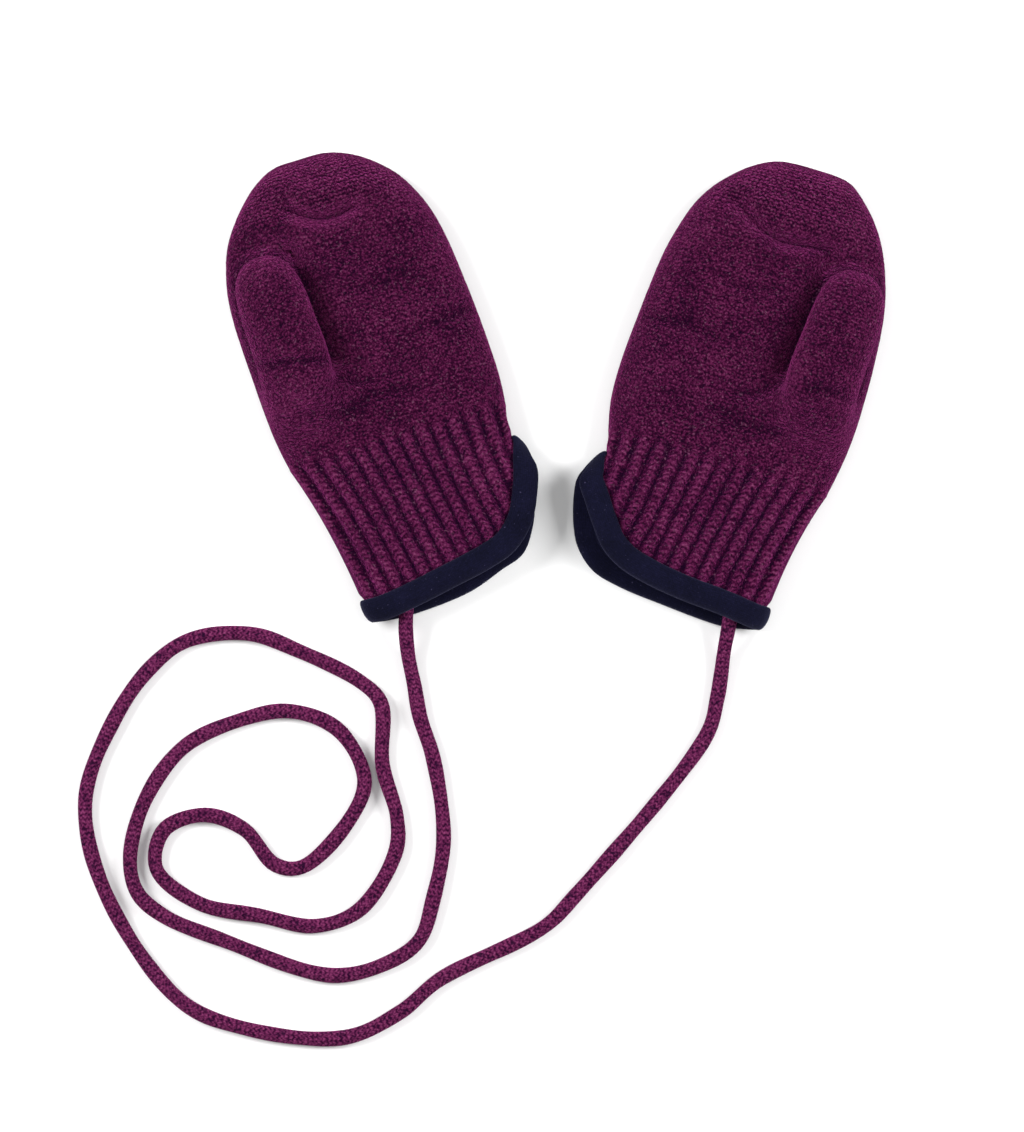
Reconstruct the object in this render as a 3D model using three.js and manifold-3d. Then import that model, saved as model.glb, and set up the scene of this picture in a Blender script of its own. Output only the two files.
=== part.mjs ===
// A pair of knitted baby mittens laid flat, palms up, with the thumbs on the palms and a cord between them.
// Millimetres, +Z up. The mittens rest on Z = 0, and the origin is the middle of their box's underside.
// Each mitten has its own flat frame: u runs across from the thumb side, v runs from the hem to the tip.

import * as THREE from 'three';
import Module from 'manifold-3d';

// Cloth
const seam = 0.3; // gap between pieces that are sewn to each other
const knitWall = 2.2; // felted knit of hand, thumb and cuff
const thumbWall = 2.0;
const hemWall = 1.2; // ribbed knit pressed flat inside the binding
const liningWall = 1.0;

// Ribs of the cuff
const ribCount = 14; // on the palm layer
const pointsPerRib = 4;
const ribRise = 0.55; // crest above the mean wall
const ribDip = 0.35; // groove below the mean wall
const ribSide = 0.14; // flank above the mean wall

// Binding, a strip folded round the hem
const bindingReach = 6.1; // how far its legs cover the knit
const bindingWeb = 1.3; // how far it stands out past the knit's edge
const bindingHalf = 1.9; // half its thickness
const bindingCrown = 2.4; // distance in from the hem at which it is thickest
const bindingTurn = bindingReach - 0.7; // where its edge begins to round over
const fullWallFrom = bindingReach + 0.4; // where the knit springs back to its full wall
const fullWallTo = bindingReach + 3;
const hemGap = 0.5; // between the knit edge and the bottom of the strip fold
const finestFacet = 0.015; // detail below which a cut edge is smoothed

// Layers
const domeReach = 15; // distance from the fold at which the palm layer is at its full height
const footReach = 8; // the same for the layer that rests on the surface
const roundness = 2.2;
const hemLiftEnd = 15; // distance from the hem at which the back layer lies flat again
const waist = 0.055; // share by which the cuff draws in at half its height
const waistCentre = -2;
const hemDensity = 240; // steps in a hem's dense line
const sideSteps = 24; // steps along the cuff's fold
const wayStep = 4; // steps up the cuff's fold that give its direction at the hem
const crossSteps = 160; // steps in a dense line across a layer
const foldTurn = 9; // distance from a fold within which the strip turns to lie along it

// Cord
const cordDiameter = 4.4;
const cordSides = 8;
const cordSteps = 88;
const cordRest = 2.25; // height of its middle line where it lies on the surface

// Mid-wall heights along the mitten: the side fold, the palm layer and the back layer
const levels = [
  { v: -10, fold: 6.8, palm: 12.0, back: 1.1 },
  { v: 10, fold: 6.7, palm: 12.0, back: 1.1 },
  { v: 44, fold: 5.8, palm: 11.6, back: 1.1 },
  { v: 60, fold: 5.6, palm: 12.4, back: 1.1 },
  { v: 88, fold: 5.6, palm: 12.3, back: 1.1 },
  { v: 108, fold: 5.2, palm: 11.2, back: 1.1 },
  { v: 122, fold: 4.8, palm: 10.2, back: 1.1 },
  { v: 134, fold: 4.6, palm: 9.6, back: 1.1 },
];

// Left mitten. The outline gives the outer edge of the hand on each side, the hems give the knit's edge
// from the thumb fold round the corner and up the slit, and the folds are soft troughs in the palm layer.
const left = {
  name: 'left',
  mirror: 1,
  at: [-32.0, -55.17],
  turn: 17,
  ribTop: 44,
  tip: { u: -7.9, v: 132.3 },
  outline: [
    { v: 44, thumb: -36.4, finger: 31.3 },
    { v: 52, thumb: -37.9, finger: 32.1 },
    { v: 62, thumb: -38.6, finger: 31.9 },
    { v: 74, thumb: -39.2, finger: 31.3 },
    { v: 86, thumb: -39.6, finger: 30.3 },
    { v: 97, thumb: -39.3, finger: 29.1 },
    { v: 106, thumb: -37.5, finger: 27.2 },
    { v: 113, thumb: -34.9, finger: 24.4 },
    { v: 119, thumb: -30.8, finger: 20.8 },
    { v: 124, thumb: -26.3, finger: 15.9 },
    { v: 128, thumb: -21.6, finger: 10.4 },
    { v: 131, thumb: -15.4, finger: 2.8 },
  ],
  palmHem: [
    { u: -25.4, v: -5.6 }, { u: -22, v: -5.9 }, { u: -13.3, v: -5.0 }, { u: 1, v: -2.5 },
    { u: 12, v: -0.4 }, { u: 20.4, v: 2.4 }, { u: 27.0, v: 8.2 }, { u: 31.4, v: 16.5 },
    { u: 33.6, v: 24 }, { u: 32.4, v: 28.5 },
  ],
  backHem: [
    { u: -25.4, v: -5.6 }, { u: -22, v: -6.2 }, { u: -13.7, v: -6.7 }, { u: 4.2, v: -5.3 },
    { u: 15.4, v: -1.7 }, { u: 22.4, v: 0.8 }, { u: 28.4, v: 6.6 }, { u: 32.2, v: 15.5 },
    { u: 33.8, v: 23 }, { u: 32.4, v: 28.5 },
  ],
  folds: [
    { fromU: -19, fromV: 112, toU: 7, toV: 117, width: 5, depth: 1.3 },
    { fromU: -13, fromV: 73, toU: -7, toV: 66, width: 4.5, depth: 1.2 },
    { fromU: -6, fromV: 104, toU: 12, toV: 101, width: 7, depth: 0.6 },
  ],
  thumb: [
    { v: 48, centre: -28.5, half: 8.5, floor: 4.6, top: 10.6 },
    { v: 54, centre: -28.0, half: 9.8, floor: 6.0, top: 14.6 },
    { v: 61, centre: -27.2, half: 10.8, floor: 8.0, top: 18.6 },
    { v: 68, centre: -26.2, half: 11.1, floor: 10.4, top: 21.4 },
    { v: 76, centre: -25.7, half: 11.0, floor: 12.6, top: 22.8 },
    { v: 86, centre: -26.1, half: 10.7, floor: 12.8, top: 23.0 },
    { v: 95, centre: -26.4, half: 10.3, floor: 12.8, top: 22.4 },
    { v: 101, centre: -26.6, half: 8.9, floor: 13.2, top: 21.4 },
    { v: 105, centre: -26.6, half: 6.0, floor: 14.0, top: 19.8 },
  ],
  thumbTip: { u: -26.4, v: 107, z: 16.8 },
};

// Right mitten, in the same frame with its thumb side at negative u, and mirrored when it is placed
const right = {
  name: 'right',
  mirror: -1,
  at: [34.3, -59.67],
  turn: -17,
  ribTop: 41,
  tip: { u: -5.5, v: 133.4 },
  outline: [
    { v: 41, thumb: -36.6, finger: 32.0 },
    { v: 50, thumb: -38.2, finger: 34.0 },
    { v: 62, thumb: -39.1, finger: 34.3 },
    { v: 74, thumb: -39.1, finger: 33.6 },
    { v: 86, thumb: -38.5, finger: 32.7 },
    { v: 97, thumb: -37.3, finger: 31.5 },
    { v: 106, thumb: -35.1, finger: 29.4 },
    { v: 113, thumb: -32.4, finger: 27.1 },
    { v: 119, thumb: -29.2, finger: 23.5 },
    { v: 124, thumb: -25.4, finger: 19.0 },
    { v: 128, thumb: -21.3, finger: 14.3 },
    { v: 131.6, thumb: -16.4, finger: 7.4 },
  ],
  palmHem: [
    { u: -28.3, v: -2.4 }, { u: -25, v: -2.3 }, { u: -17.2, v: -1.4 }, { u: -2.3, v: -0.3 },
    { u: 8.2, v: 1.2 }, { u: 16.2, v: 3.4 }, { u: 22.2, v: 7.0 }, { u: 26.6, v: 12.2 },
    { u: 31.0, v: 18.4 }, { u: 34.6, v: 24.2 }, { u: 33.0, v: 28.4 },
  ],
  backHem: [
    { u: -28.3, v: -2.4 }, { u: -25, v: -3.2 }, { u: -17.6, v: -4.4 }, { u: 1.8, v: -3.4 },
    { u: 15.0, v: -2.1 }, { u: 23.2, v: 0 }, { u: 29.0, v: 4.8 }, { u: 32.2, v: 10.6 },
    { u: 34.9, v: 20 }, { u: 35.2, v: 25 }, { u: 33.0, v: 28.4 },
  ],
  folds: [
    { fromU: -14, fromV: 115, toU: 14, toV: 117, width: 5, depth: 1.3 },
    { fromU: -12, fromV: 76, toU: -7, toV: 65, width: 4.5, depth: 1.5 },
    { fromU: -12, fromV: 104, toU: 2, toV: 99, width: 7, depth: 0.6 },
  ],
  thumb: [
    { v: 48, centre: -27.5, half: 8.5, floor: 4.6, top: 10.6 },
    { v: 54, centre: -27.2, half: 9.8, floor: 6.0, top: 14.6 },
    { v: 61, centre: -26.4, half: 10.8, floor: 8.0, top: 18.6 },
    { v: 68, centre: -25.4, half: 11.1, floor: 10.4, top: 21.4 },
    { v: 76, centre: -25.2, half: 11.1, floor: 12.6, top: 22.8 },
    { v: 86, centre: -25.8, half: 10.9, floor: 12.8, top: 23.0 },
    { v: 95, centre: -26.3, half: 10.5, floor: 12.8, top: 22.4 },
    { v: 101, centre: -26.3, half: 9.1, floor: 13.2, top: 21.4 },
    { v: 105, centre: -26.2, half: 6.2, floor: 14.0, top: 19.8 },
  ],
  thumbTip: { u: -26.2, v: 107, z: 16.8 },
};

// The cord's middle line as it lies, from inside the left cuff to inside the right cuff. A point
// without a height lies on the surface.
const cordRoute = [
  { x: -42.6, y: -48.5, z: 6.5 }, { x: -44.2, y: -60.5, z: 6.6 }, { x: -44.9, y: -70, z: 6.3 },
  { x: -44.2, y: -79, z: 3.6 }, { x: -42.4, y: -88, z: 2.45 }, { x: -40.7, y: -97.5 },
  { x: -36.7, y: -110 }, { x: -33.6, y: -134 }, { x: -36.8, y: -152.5 }, { x: -40.8, y: -164.3 },
  { x: -49.5, y: -170.8 }, { x: -67, y: -175 }, { x: -100.7, y: -164.1 }, { x: -117.5, y: -157.2 },
  { x: -125.4, y: -150.2 }, { x: -127.6, y: -140 }, { x: -123.1, y: -122.5 },
  { x: -111.5, y: -106.6 }, { x: -94.7, y: -98.5 }, { x: -79.5, y: -95.8 }, { x: -65, y: -101.6 },
  { x: -57.3, y: -116.5 }, { x: -62, y: -128.6 }, { x: -76, y: -142.5 }, { x: -84.2, y: -141.8 },
  { x: -93.3, y: -131.3 }, { x: -105.2, y: -126.9 }, { x: -117.4, y: -131.4 },
  { x: -119.7, y: -143 }, { x: -106.9, y: -153.4 }, { x: -88.7, y: -157.1 },
  { x: -72.2, y: -160.2 }, { x: -58.9, y: -155.4 }, { x: -48, y: -138 }, { x: -47.6, y: -127.5 },
  { x: -51.9, y: -112 }, { x: -52.5, y: -93.2 }, { x: -58.8, y: -86.8 }, { x: -76.7, y: -77.9 },
  { x: -91.7, y: -72.6 }, { x: -110, y: -74.5 }, { x: -121.2, y: -82.5 }, { x: -132.4, y: -98.4 },
  { x: -141, y: -122.5 }, { x: -135.3, y: -149.5 }, { x: -112.8, y: -182.3 },
  { x: -94.7, y: -190.5 }, { x: -63.3, y: -193.6 }, { x: -46.7, y: -186.1 },
  { x: -34.7, y: -176.2 }, { x: -3.4, y: -160.4 }, { x: 5.7, y: -151.3 }, { x: 45.2, y: -103 },
  { x: 48.4, y: -92, z: 2.3 }, { x: 49.6, y: -84.5, z: 2.6 }, { x: 50.4, y: -78, z: 4 },
  { x: 51.9, y: -69.5, z: 6.6 }, { x: 54.4, y: -53, z: 6.5 },
];

// Small helpers

const clamp = (x, low, high) => Math.min(Math.max(x, low), high);
const mix = (a, b, share) => a + (b - a) * share;

function smooth(x, from, to) {
  const share = clamp((x - from) / (to - from), 0, 1);
  return share * share * (3 - 2 * share);
}

// Quarter of a superellipse: 0 at a fold, 1 from the reach on
function rounded(distance, reach, power = roundness) {
  const rest = 1 - clamp(distance / reach, 0, 1);
  return (1 - rest ** power) ** (1 / power);
}

function lookUp(table, v, column) {
  let row = 0;
  while (row < table.length - 2 && table[row + 1].v < v) {
    row += 1;
  }
  const share = clamp((v - table[row].v) / (table[row + 1].v - table[row].v), 0, 1);
  return mix(table[row][column], table[row + 1][column], share);
}

function distanceToLine(line, u, v) {
  let best = Infinity;
  for (let i = 0; i + 1 < line.length; i += 1) {
    const a = line[i];
    const b = line[i + 1];
    const spanU = b.u - a.u;
    const spanV = b.v - a.v;
    const along = ((u - a.u) * spanU + (v - a.v) * spanV) / (spanU * spanU + spanV * spanV);
    const share = clamp(along, 0, 1);
    best = Math.min(best, Math.hypot(u - a.u - share * spanU, v - a.v - share * spanV));
  }
  return best;
}


function mixRows(a, b, share) {
  const pairs = Object.keys(a).map((key) => [key, mix(a[key], b[key], share)]);
  return Object.fromEntries(pairs);
}

const planStep = (a, b) => Math.hypot(b.u - a.u, b.v - a.v);
const spaceStep = (a, b) => Math.hypot(b.u - a.u, b.v - a.v, b.z - a.z);
const toVector = (p) => new THREE.Vector3(p.u, p.v, p.z);

// Rows of a line at given shares of a weight that is summed along it
function resample(line, weight, shares) {
  const sums = [0];
  for (let i = 1; i < line.length; i += 1) {
    sums.push(sums[i - 1] + weight(line[i - 1], line[i]));
  }
  const total = sums[sums.length - 1];
  let i = 0;
  return shares.map((share) => {
    while (i < line.length - 2 && sums[i + 1] < share * total) {
      i += 1;
    }
    const along = (share * total - sums[i]) / (sums[i + 1] - sums[i]);
    return mixRows(line[i], line[i + 1], clamp(along, 0, 1));
  });
}

const evenShares = (count) => Array.from({ length: count + 1 }, (_, i) => i / count);

// A closed surface made of rings, each ring a list of points that goes round once
class Surface {
  constructor() {
    this.points = [];
    this.faces = [];
  }

  point(p) {
    this.points.push(p);
    return this.points.length - 1;
  }

  // shares says how far round the ring each point is, so that rings with unlike counts can be joined
  ring(points, shares) {
    return { ids: points.map((p) => this.point(p)), shares };
  }

  bridge(low, high) {
    const lowCount = low.ids.length;
    const highCount = high.ids.length;
    let i = 0;
    let j = 0;
    while (i < lowCount || j < highCount) {
      const nextLow = i + 1 < lowCount ? low.shares[i + 1] : 1;
      const nextHigh = j + 1 < highCount ? high.shares[j + 1] : 1;
      const a = low.ids[i % lowCount];
      const b = high.ids[j % highCount];
      if (j >= highCount || (i < lowCount && nextLow <= nextHigh)) {
        this.faces.push([a, low.ids[(i + 1) % lowCount], b]);
        i += 1;
      } else {
        this.faces.push([a, high.ids[(j + 1) % highCount], b]);
        j += 1;
      }
    }
  }

  close(ring, pole, flip) {
    const top = this.point(pole);
    const count = ring.ids.length;
    for (let i = 0; i < count; i += 1) {
      const a = ring.ids[i];
      const b = ring.ids[(i + 1) % count];
      this.faces.push(flip ? [b, a, top] : [a, b, top]);
    }
  }

  // The solid that the surface encloses, with its faces turned outwards
  solid() {
    let volume = 0;
    for (const [a, b, c] of this.faces) {
      volume += this.points[a].dot(this.points[b].clone().cross(this.points[c]));
    }
    const faces = volume > 0 ? this.faces : this.faces.map(([a, b, c]) => [a, c, b]);
    const vertProperties = new Float32Array(this.points.flatMap((p) => [p.x, p.y, p.z]));
    const mesh = new wasm.Mesh({ numProp: 3, vertProperties, triVerts: new Uint32Array(faces.flat()) });
    return new wasm.Manifold(mesh);
  }
}

const wasm = await Module();
wasm.setup();

// Form of one mitten's layers

// Dense middle lines of both hems, and the line on which the palm layer folds over into the back layer
function layOut(mitten) {
  const half = knitWall / 2;
  const first = mitten.outline[0];
  const thumbTop = { u: first.thumb + half, v: mitten.ribTop };
  const fingerTop = { u: first.finger - half, v: mitten.ribTop };
  const cuffSide = (low, high) => evenShares(sideSteps).map((rise) => cuffPlan(low, high, rise));
  const thumbSide = cuffSide(mitten.palmHem[0], thumbTop);
  const fingerSide = cuffSide(mitten.palmHem[mitten.palmHem.length - 1], fingerTop);
  const handThumb = mitten.outline.slice(1).map((row) => ({ u: row.thumb + half, v: row.v }));
  const handFinger = mitten.outline.slice(1).map((row) => ({ u: row.finger - half, v: row.v }));
  const tip = { u: mitten.tip.u, v: mitten.tip.v - half };
  const palm = hemLine(mitten.palmHem, thumbSide, fingerSide);
  const back = hemLine(mitten.backHem, thumbSide, fingerSide);
  const downFinger = [...handFinger.reverse(), ...fingerSide.slice().reverse()];
  const foldLine = [...thumbSide, ...handThumb, tip, ...downFinger];
  return { ...mitten, foldLine, thumbTop, fingerTop, hems: { palm, back } };
}

// A hem as a dense line. inU and inV say which way the cloth lies: square to the hem, and along the
// fold at its ends.
function hemLine(rows, thumbSide, fingerSide) {
  const points = rows.map((row) => new THREE.Vector3(row.u, row.v, 0));
  const dense = new THREE.CatmullRomCurve3(points, false, 'centripetal').getPoints(hemDensity);
  const last = dense.length - 1;
  const foldWay = (side) => {
    const ahead = side[wayStep];
    return new THREE.Vector2(ahead.u - side[0].u, ahead.v - side[0].v).normalize();
  };
  const ends = [foldWay(thumbSide), foldWay(fingerSide)];
  return dense.map((p, i) => {
    const before = dense[Math.max(i - 1, 0)];
    const after = dense[Math.min(i + 1, last)];
    const square = new THREE.Vector2(before.y - after.y, after.x - before.x).normalize();
    const nearEnd = [dense[0], dense[last]].map((end) => 1 - smooth(p.distanceTo(end), 0, foldTurn));
    const way = square.multiplyScalar(1 - nearEnd[0] - nearEnd[1]);
    way.addScaledVector(ends[0], nearEnd[0]).addScaledVector(ends[1], nearEnd[1]).normalize();
    return { u: p.x, v: p.y, inU: way.x, inV: way.y };
  });
}

// A point of the cuff in plan, between its hem point and its point under the hand, drawn in at the waist
function cuffPlan(low, high, rise) {
  const u = mix(low.u, high.u, rise);
  const v = mix(low.v, high.v, rise);
  const drawn = 1 - waist * 4 * rise * (1 - rise);
  return { u: waistCentre + (u - waistCentre) * drawn, v };
}

function layerHeight(mitten, layer, u, v) {
  const fromFold = distanceToLine(mitten.foldLine, u, v);
  const fold = lookUp(levels, v, 'fold');
  if (layer === 'palm') {
    let palm = lookUp(levels, v, 'palm');
    for (const crease of mitten.folds) {
      const line = [{ u: crease.fromU, v: crease.fromV }, { u: crease.toU, v: crease.toV }];
      palm -= crease.depth * Math.exp(-((distanceToLine(line, u, v) / crease.width) ** 2));
    }
    return mix(fold, palm, rounded(fromFold, domeReach));
  }
  const fromHem = v < mitten.ribTop ? distanceToLine(mitten.hems.back, u, v) : hemLiftEnd;
  const lift = (bindingHalf - knitWall / 2) * (1 - smooth(fromHem, bindingReach, hemLiftEnd));
  return mix(fold, lookUp(levels, v, 'back') + lift, rounded(fromFold, footReach));
}

// One row across a layer at a height v, its points evenly spaced along the cloth
function crossRow(mitten, layer, from, to, v, count) {
  const dense = evenShares(crossSteps).map((share) => {
    const lean = (1 - Math.cos(Math.PI * share)) / 2;
    const u = mix(from, to, lean);
    return { u, v, z: layerHeight(mitten, layer, u, v) };
  });
  const fold = lookUp(levels, v, 'fold');
  dense[0].z = fold;
  dense[dense.length - 1].z = fold;
  return resample(dense, spaceStep, evenShares(count)).map(toVector);
}

// Shares round the mitten: the palm layer takes the first half and the back layer the second
function roundShares(palmCount, backCount) {
  const palm = evenShares(palmCount).slice(0, -1).map((share) => share / 2);
  const back = evenShares(backCount).slice(0, -1).map((share) => 0.5 + share / 2);
  return [...palm, ...back];
}

function joinLayers(palmRow, backRow) {
  return [...palmRow.slice(0, -1), ...backRow.slice().reverse().slice(0, -1)];
}

// Outward normals of a grid of mid-wall points, from the points next to each
function gridNormals(rows, pole) {
  return rows.map((row, r) => row.map((p, c) => {
    const before = row[(c + row.length - 1) % row.length];
    const after = row[(c + 1) % row.length];
    const below = rows[Math.max(r - 1, 0)][c];
    const above = r + 1 < rows.length ? rows[r + 1][c] : pole ?? p;
    const round = after.clone().sub(before);
    const along = above.clone().sub(below);
    return round.cross(along).normalize();
  }));
}

// Points moved out from the middle of the wall, never lower than the surface the mitten lies on
function moveOut(rows, normals, distance) {
  return rows.map((row, r) => row.map((p, c) => {
    const reach = typeof distance === 'function' ? distance(r, c, p) : distance;
    const q = p.clone().addScaledVector(normals[r][c], reach);
    q.z = Math.max(q.z, reach > 0 ? 0 : q.z);
    return q;
  }));
}

function wrap(surface, rows, shares) {
  const rings = rows.map((row) => surface.ring(row, shares));
  for (let i = 0; i + 1 < rings.length; i += 1) {
    surface.bridge(rings[i], rings[i + 1]);
  }
  return rings;
}

// Hand

const handPalmCount = 20;
const handBackCount = 10;

function handGrid(mitten) {
  const half = knitWall / 2;
  const start = { ...mitten.outline[0], v: mitten.ribTop + seam };
  const rows = [start, ...mitten.outline.slice(1)].map((row) => {
    const palm = crossRow(mitten, 'palm', row.thumb + half, row.finger - half, row.v, handPalmCount);
    const back = crossRow(mitten, 'back', row.thumb + half, row.finger - half, row.v, handBackCount);
    return joinLayers(palm, back);
  });
  const tipV = mitten.tip.v - half;
  const pole = new THREE.Vector3(mitten.tip.u, tipV, lookUp(levels, tipV, 'fold'));
  const shares = roundShares(handPalmCount, handBackCount);
  return { rows, pole, normals: gridNormals(rows, pole), shares };
}

const alongTip = (pole, reach) => pole.clone().add(new THREE.Vector3(0, reach, 0));

function handBag(grid) {
  const surface = new Surface();
  const half = knitWall / 2;
  const outer = wrap(surface, moveOut(grid.rows, grid.normals, half), grid.shares);
  surface.close(outer[outer.length - 1], alongTip(grid.pole, half), false);
  const inner = wrap(surface, moveOut(grid.rows, grid.normals, -half).reverse(), grid.shares);
  surface.close(inner[0], alongTip(grid.pole, -half), true);
  surface.bridge(inner[inner.length - 1], outer[0]);
  return surface.solid();
}

// The hand's outer form as one filled solid, moved out by the seam's gap, to cut the thumb's foot with
function handForm(grid) {
  const surface = new Surface();
  const reach = knitWall / 2 + seam;
  const outer = wrap(surface, moveOut(grid.rows, grid.normals, reach), grid.shares);
  surface.close(outer[outer.length - 1], alongTip(grid.pole, reach), false);
  const middle = new THREE.Vector3();
  grid.rows[0].forEach((p) => middle.addScaledVector(p, 1 / grid.rows[0].length));
  surface.close(outer[0], middle, true);
  return surface.solid();
}

// Thumb

const thumbTopCount = 12;
const thumbFloorCount = 8;
const thumbTilt = 0.13; // its outer side lies lower, as the palm does there
const thumbWaist = 0.42; // share of its height at which it is widest
const thumbTopRoundness = 2.3;
const thumbFloorRoundness = 3;
const thumbFree = { from: 68, to: 74 }; // from here to here it comes free of the palm
const thumbSideShare = 0.98; // the floor stops this far out, where the side begins

function thumbGrid(mitten) {
  const half = thumbWall / 2;
  const rows = mitten.thumb.map((row) => {
    const fold = mix(row.floor, row.top, thumbWaist);
    const across = (count) => evenShares(count).map((share) => -Math.cos(Math.PI * share));
    const at = (x, z) => {
      const u = row.centre + x * (row.half - half);
      return new THREE.Vector3(u, row.v, z + thumbTilt * (u - row.centre));
    };
    const top = across(thumbTopCount).map((x) => {
      const crown = rounded(1 - Math.abs(x), 1, thumbTopRoundness);
      return at(x, mix(fold, row.top - half, crown));
    });
    const floor = across(thumbFloorCount).map((x) => {
      const p = at(x, mix(fold, row.floor + half, rounded(1 - Math.abs(x), 1, thumbFloorRoundness)));
      const rest = layerHeight(mitten, 'palm', p.x, p.y) + knitWall / 2 + seam + half;
      const free = Math.abs(x) < thumbSideShare ? smooth(row.v, thumbFree.from, thumbFree.to) : 0;
      p.z = mix(p.z, Math.max(p.z, rest), free);
      return p;
    });
    return joinLayers(top, floor);
  });
  const pole = new THREE.Vector3(mitten.thumbTip.u, mitten.thumbTip.v - half, mitten.thumbTip.z);
  const shares = roundShares(thumbTopCount, thumbFloorCount);
  return { rows, pole, normals: gridNormals(rows, pole), shares };
}

// The thumb's form as one filled solid, moved out or in from the middle of its wall
function thumbForm(grid, reach) {
  const surface = new Surface();
  const rings = wrap(surface, moveOut(grid.rows, grid.normals, reach), grid.shares);
  surface.close(rings[rings.length - 1], alongTip(grid.pole, reach), false);
  const middle = new THREE.Vector3();
  grid.rows[0].forEach((p) => middle.addScaledVector(p, 1 / grid.rows[0].length));
  surface.close(rings[0], middle, true);
  return surface.solid();
}

// Cuff

const cuffPalmCount = ribCount * pointsPerRib;
const cuffBackCount = 16;
const plainPalmCount = 22; // columns of the smooth inner face and of the lining
const plainBackCount = 12;
const cuffRises = [0, 0.15, 0.21, 0.42, 0.7, 1];
const ribProfile = [-ribDip, ribSide, ribRise, ribSide];
const slitSlack = 0.15; // keeps the ribs that end on the slit apart

// Points on a hem for the columns of the cuff. Ribs are even across the mitten, so that few of them end
// on the slit, and smooth faces have their columns even along the hem.
function hemColumns(line, count, ribbed) {
  const across = (a, b) => Math.abs(b.u - a.u) + slitSlack * planStep(a, b);
  return resample(line, ribbed ? across : planStep, evenShares(count));
}

function cuffLayer(mitten, layer, count, rises) {
  const hem = hemColumns(mitten.hems[layer], count, count === cuffPalmCount);
  const top = crossRow(mitten, layer, mitten.thumbTop.u, mitten.fingerTop.u, mitten.ribTop, count);
  return rises.map((rise) => hem.map((low, c) => {
    const p = cuffPlan(low, { u: top[c].x, v: mitten.ribTop }, rise);
    const onFold = c === 0 || c === count;
    const z = onFold ? lookUp(levels, p.v, 'fold') : layerHeight(mitten, layer, p.u, p.v);
    return new THREE.Vector3(p.u, p.v, z);
  }));
}

function cuffGrid(mitten, palmCount, backCount, rises) {
  const palm = cuffLayer(mitten, 'palm', palmCount, rises);
  const back = cuffLayer(mitten, 'back', backCount, rises);
  const rows = palm.map((row, r) => joinLayers(row, back[r]));
  const fromHem = rows.map((row, r) => row.map((p, c) => {
    const line = c <= palmCount ? mitten.hems.palm : mitten.hems.back;
    return rises[r] === 0 ? 0 : distanceToLine(line, p.x, p.y);
  }));
  const shares = roundShares(palmCount, backCount);
  return { rows, fromHem, palmCount, normals: gridNormals(rows), shares };
}

// Half the wall: pressed flat inside the binding, full above it
const wallFade = (fromHem) => smooth(fromHem, fullWallFrom, fullWallTo);
const cuffHalf = (fromHem) => mix(hemWall, knitWall, wallFade(fromHem)) / 2;

function cuffSolid(mitten) {
  const grid = cuffGrid(mitten, cuffPalmCount, cuffBackCount, cuffRises);
  const plain = cuffGrid(mitten, plainPalmCount, plainBackCount, cuffRises);
  const ribbed = (r, c) => {
    const rib = c > 0 && c < grid.palmCount ? ribProfile[c % pointsPerRib] : 0;
    return cuffHalf(grid.fromHem[r][c]) + wallFade(grid.fromHem[r][c]) * rib;
  };
  const outerRows = moveOut(grid.rows, grid.normals, ribbed);
  const innerRows = moveOut(plain.rows, plain.normals, (r, c) => -cuffHalf(plain.fromHem[r][c]));
  const surface = new Surface();
  const outer = wrap(surface, outerRows, grid.shares);
  const inner = wrap(surface, innerRows.reverse(), plain.shares);
  surface.bridge(outer[outer.length - 1], inner[0]);
  surface.bridge(inner[inner.length - 1], outer[0]);
  return surface.solid();
}

// Binding

const bindingStations = { palm: 25, back: 24 };
const fanWeight = 9; // sets stations closer where the strip turns in plan
const bindingSection = [
  { in: -bindingWeb, half: 0.65 },
  { in: -0.4, half: 1.6 },
  { in: bindingCrown, half: bindingHalf + 0.15 },
  { in: bindingTurn, half: bindingHalf },
  { in: bindingReach, half: bindingHalf - 0.2 },
];

// One row of the band that the strip covers, a distance in from the hem
function bindingLayer(mitten, layer, distance) {
  const count = bindingStations[layer];
  const dense = mitten.hems[layer].map((p, i) => {
    const onFold = i === 0 || i === hemDensity;
    return { ...p, z: onFold ? lookUp(levels, p.v, 'fold') : layerHeight(mitten, layer, p.u, p.v) };
  });
  const turning = (a, b) => spaceStep(a, b) + fanWeight * Math.hypot(b.inU - a.inU, b.inV - a.inV);
  return resample(dense, turning, evenShares(count)).map((p, i) => {
    const u = p.u + distance * p.inU;
    const v = p.v + distance * p.inV;
    const onFold = i === 0 || i === count;
    const flat = onFold ? lookUp(levels, v, 'fold') : layerHeight(mitten, layer, u, v);
    return new THREE.Vector3(u, v, distance > 0 ? flat : p.z);
  });
}

const slotReaches = [-hemGap, bindingCrown, bindingTurn, bindingReach + 1];
const slotSection = slotReaches.map((reach) => ({ in: reach, half: hemWall / 2 + seam }));

// The knit's own edge inside the strip, and a little way out of it to where the full wall begins
function hemBand(thicker) {
  const reaches = [0, bindingCrown, bindingTurn, fullWallTo + 0.2];
  return reaches.map((reach) => ({ in: reach, half: hemWall / 2 + thicker }));
}

// The strip's section made longer and thicker: the room that it needs
function roomyStrip(longer, thicker) {
  return bindingSection.map((row) => ({
    in: row.in + (row.in > bindingReach / 2 ? longer : -longer),
    half: row.half + thicker,
  }));
}

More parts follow.
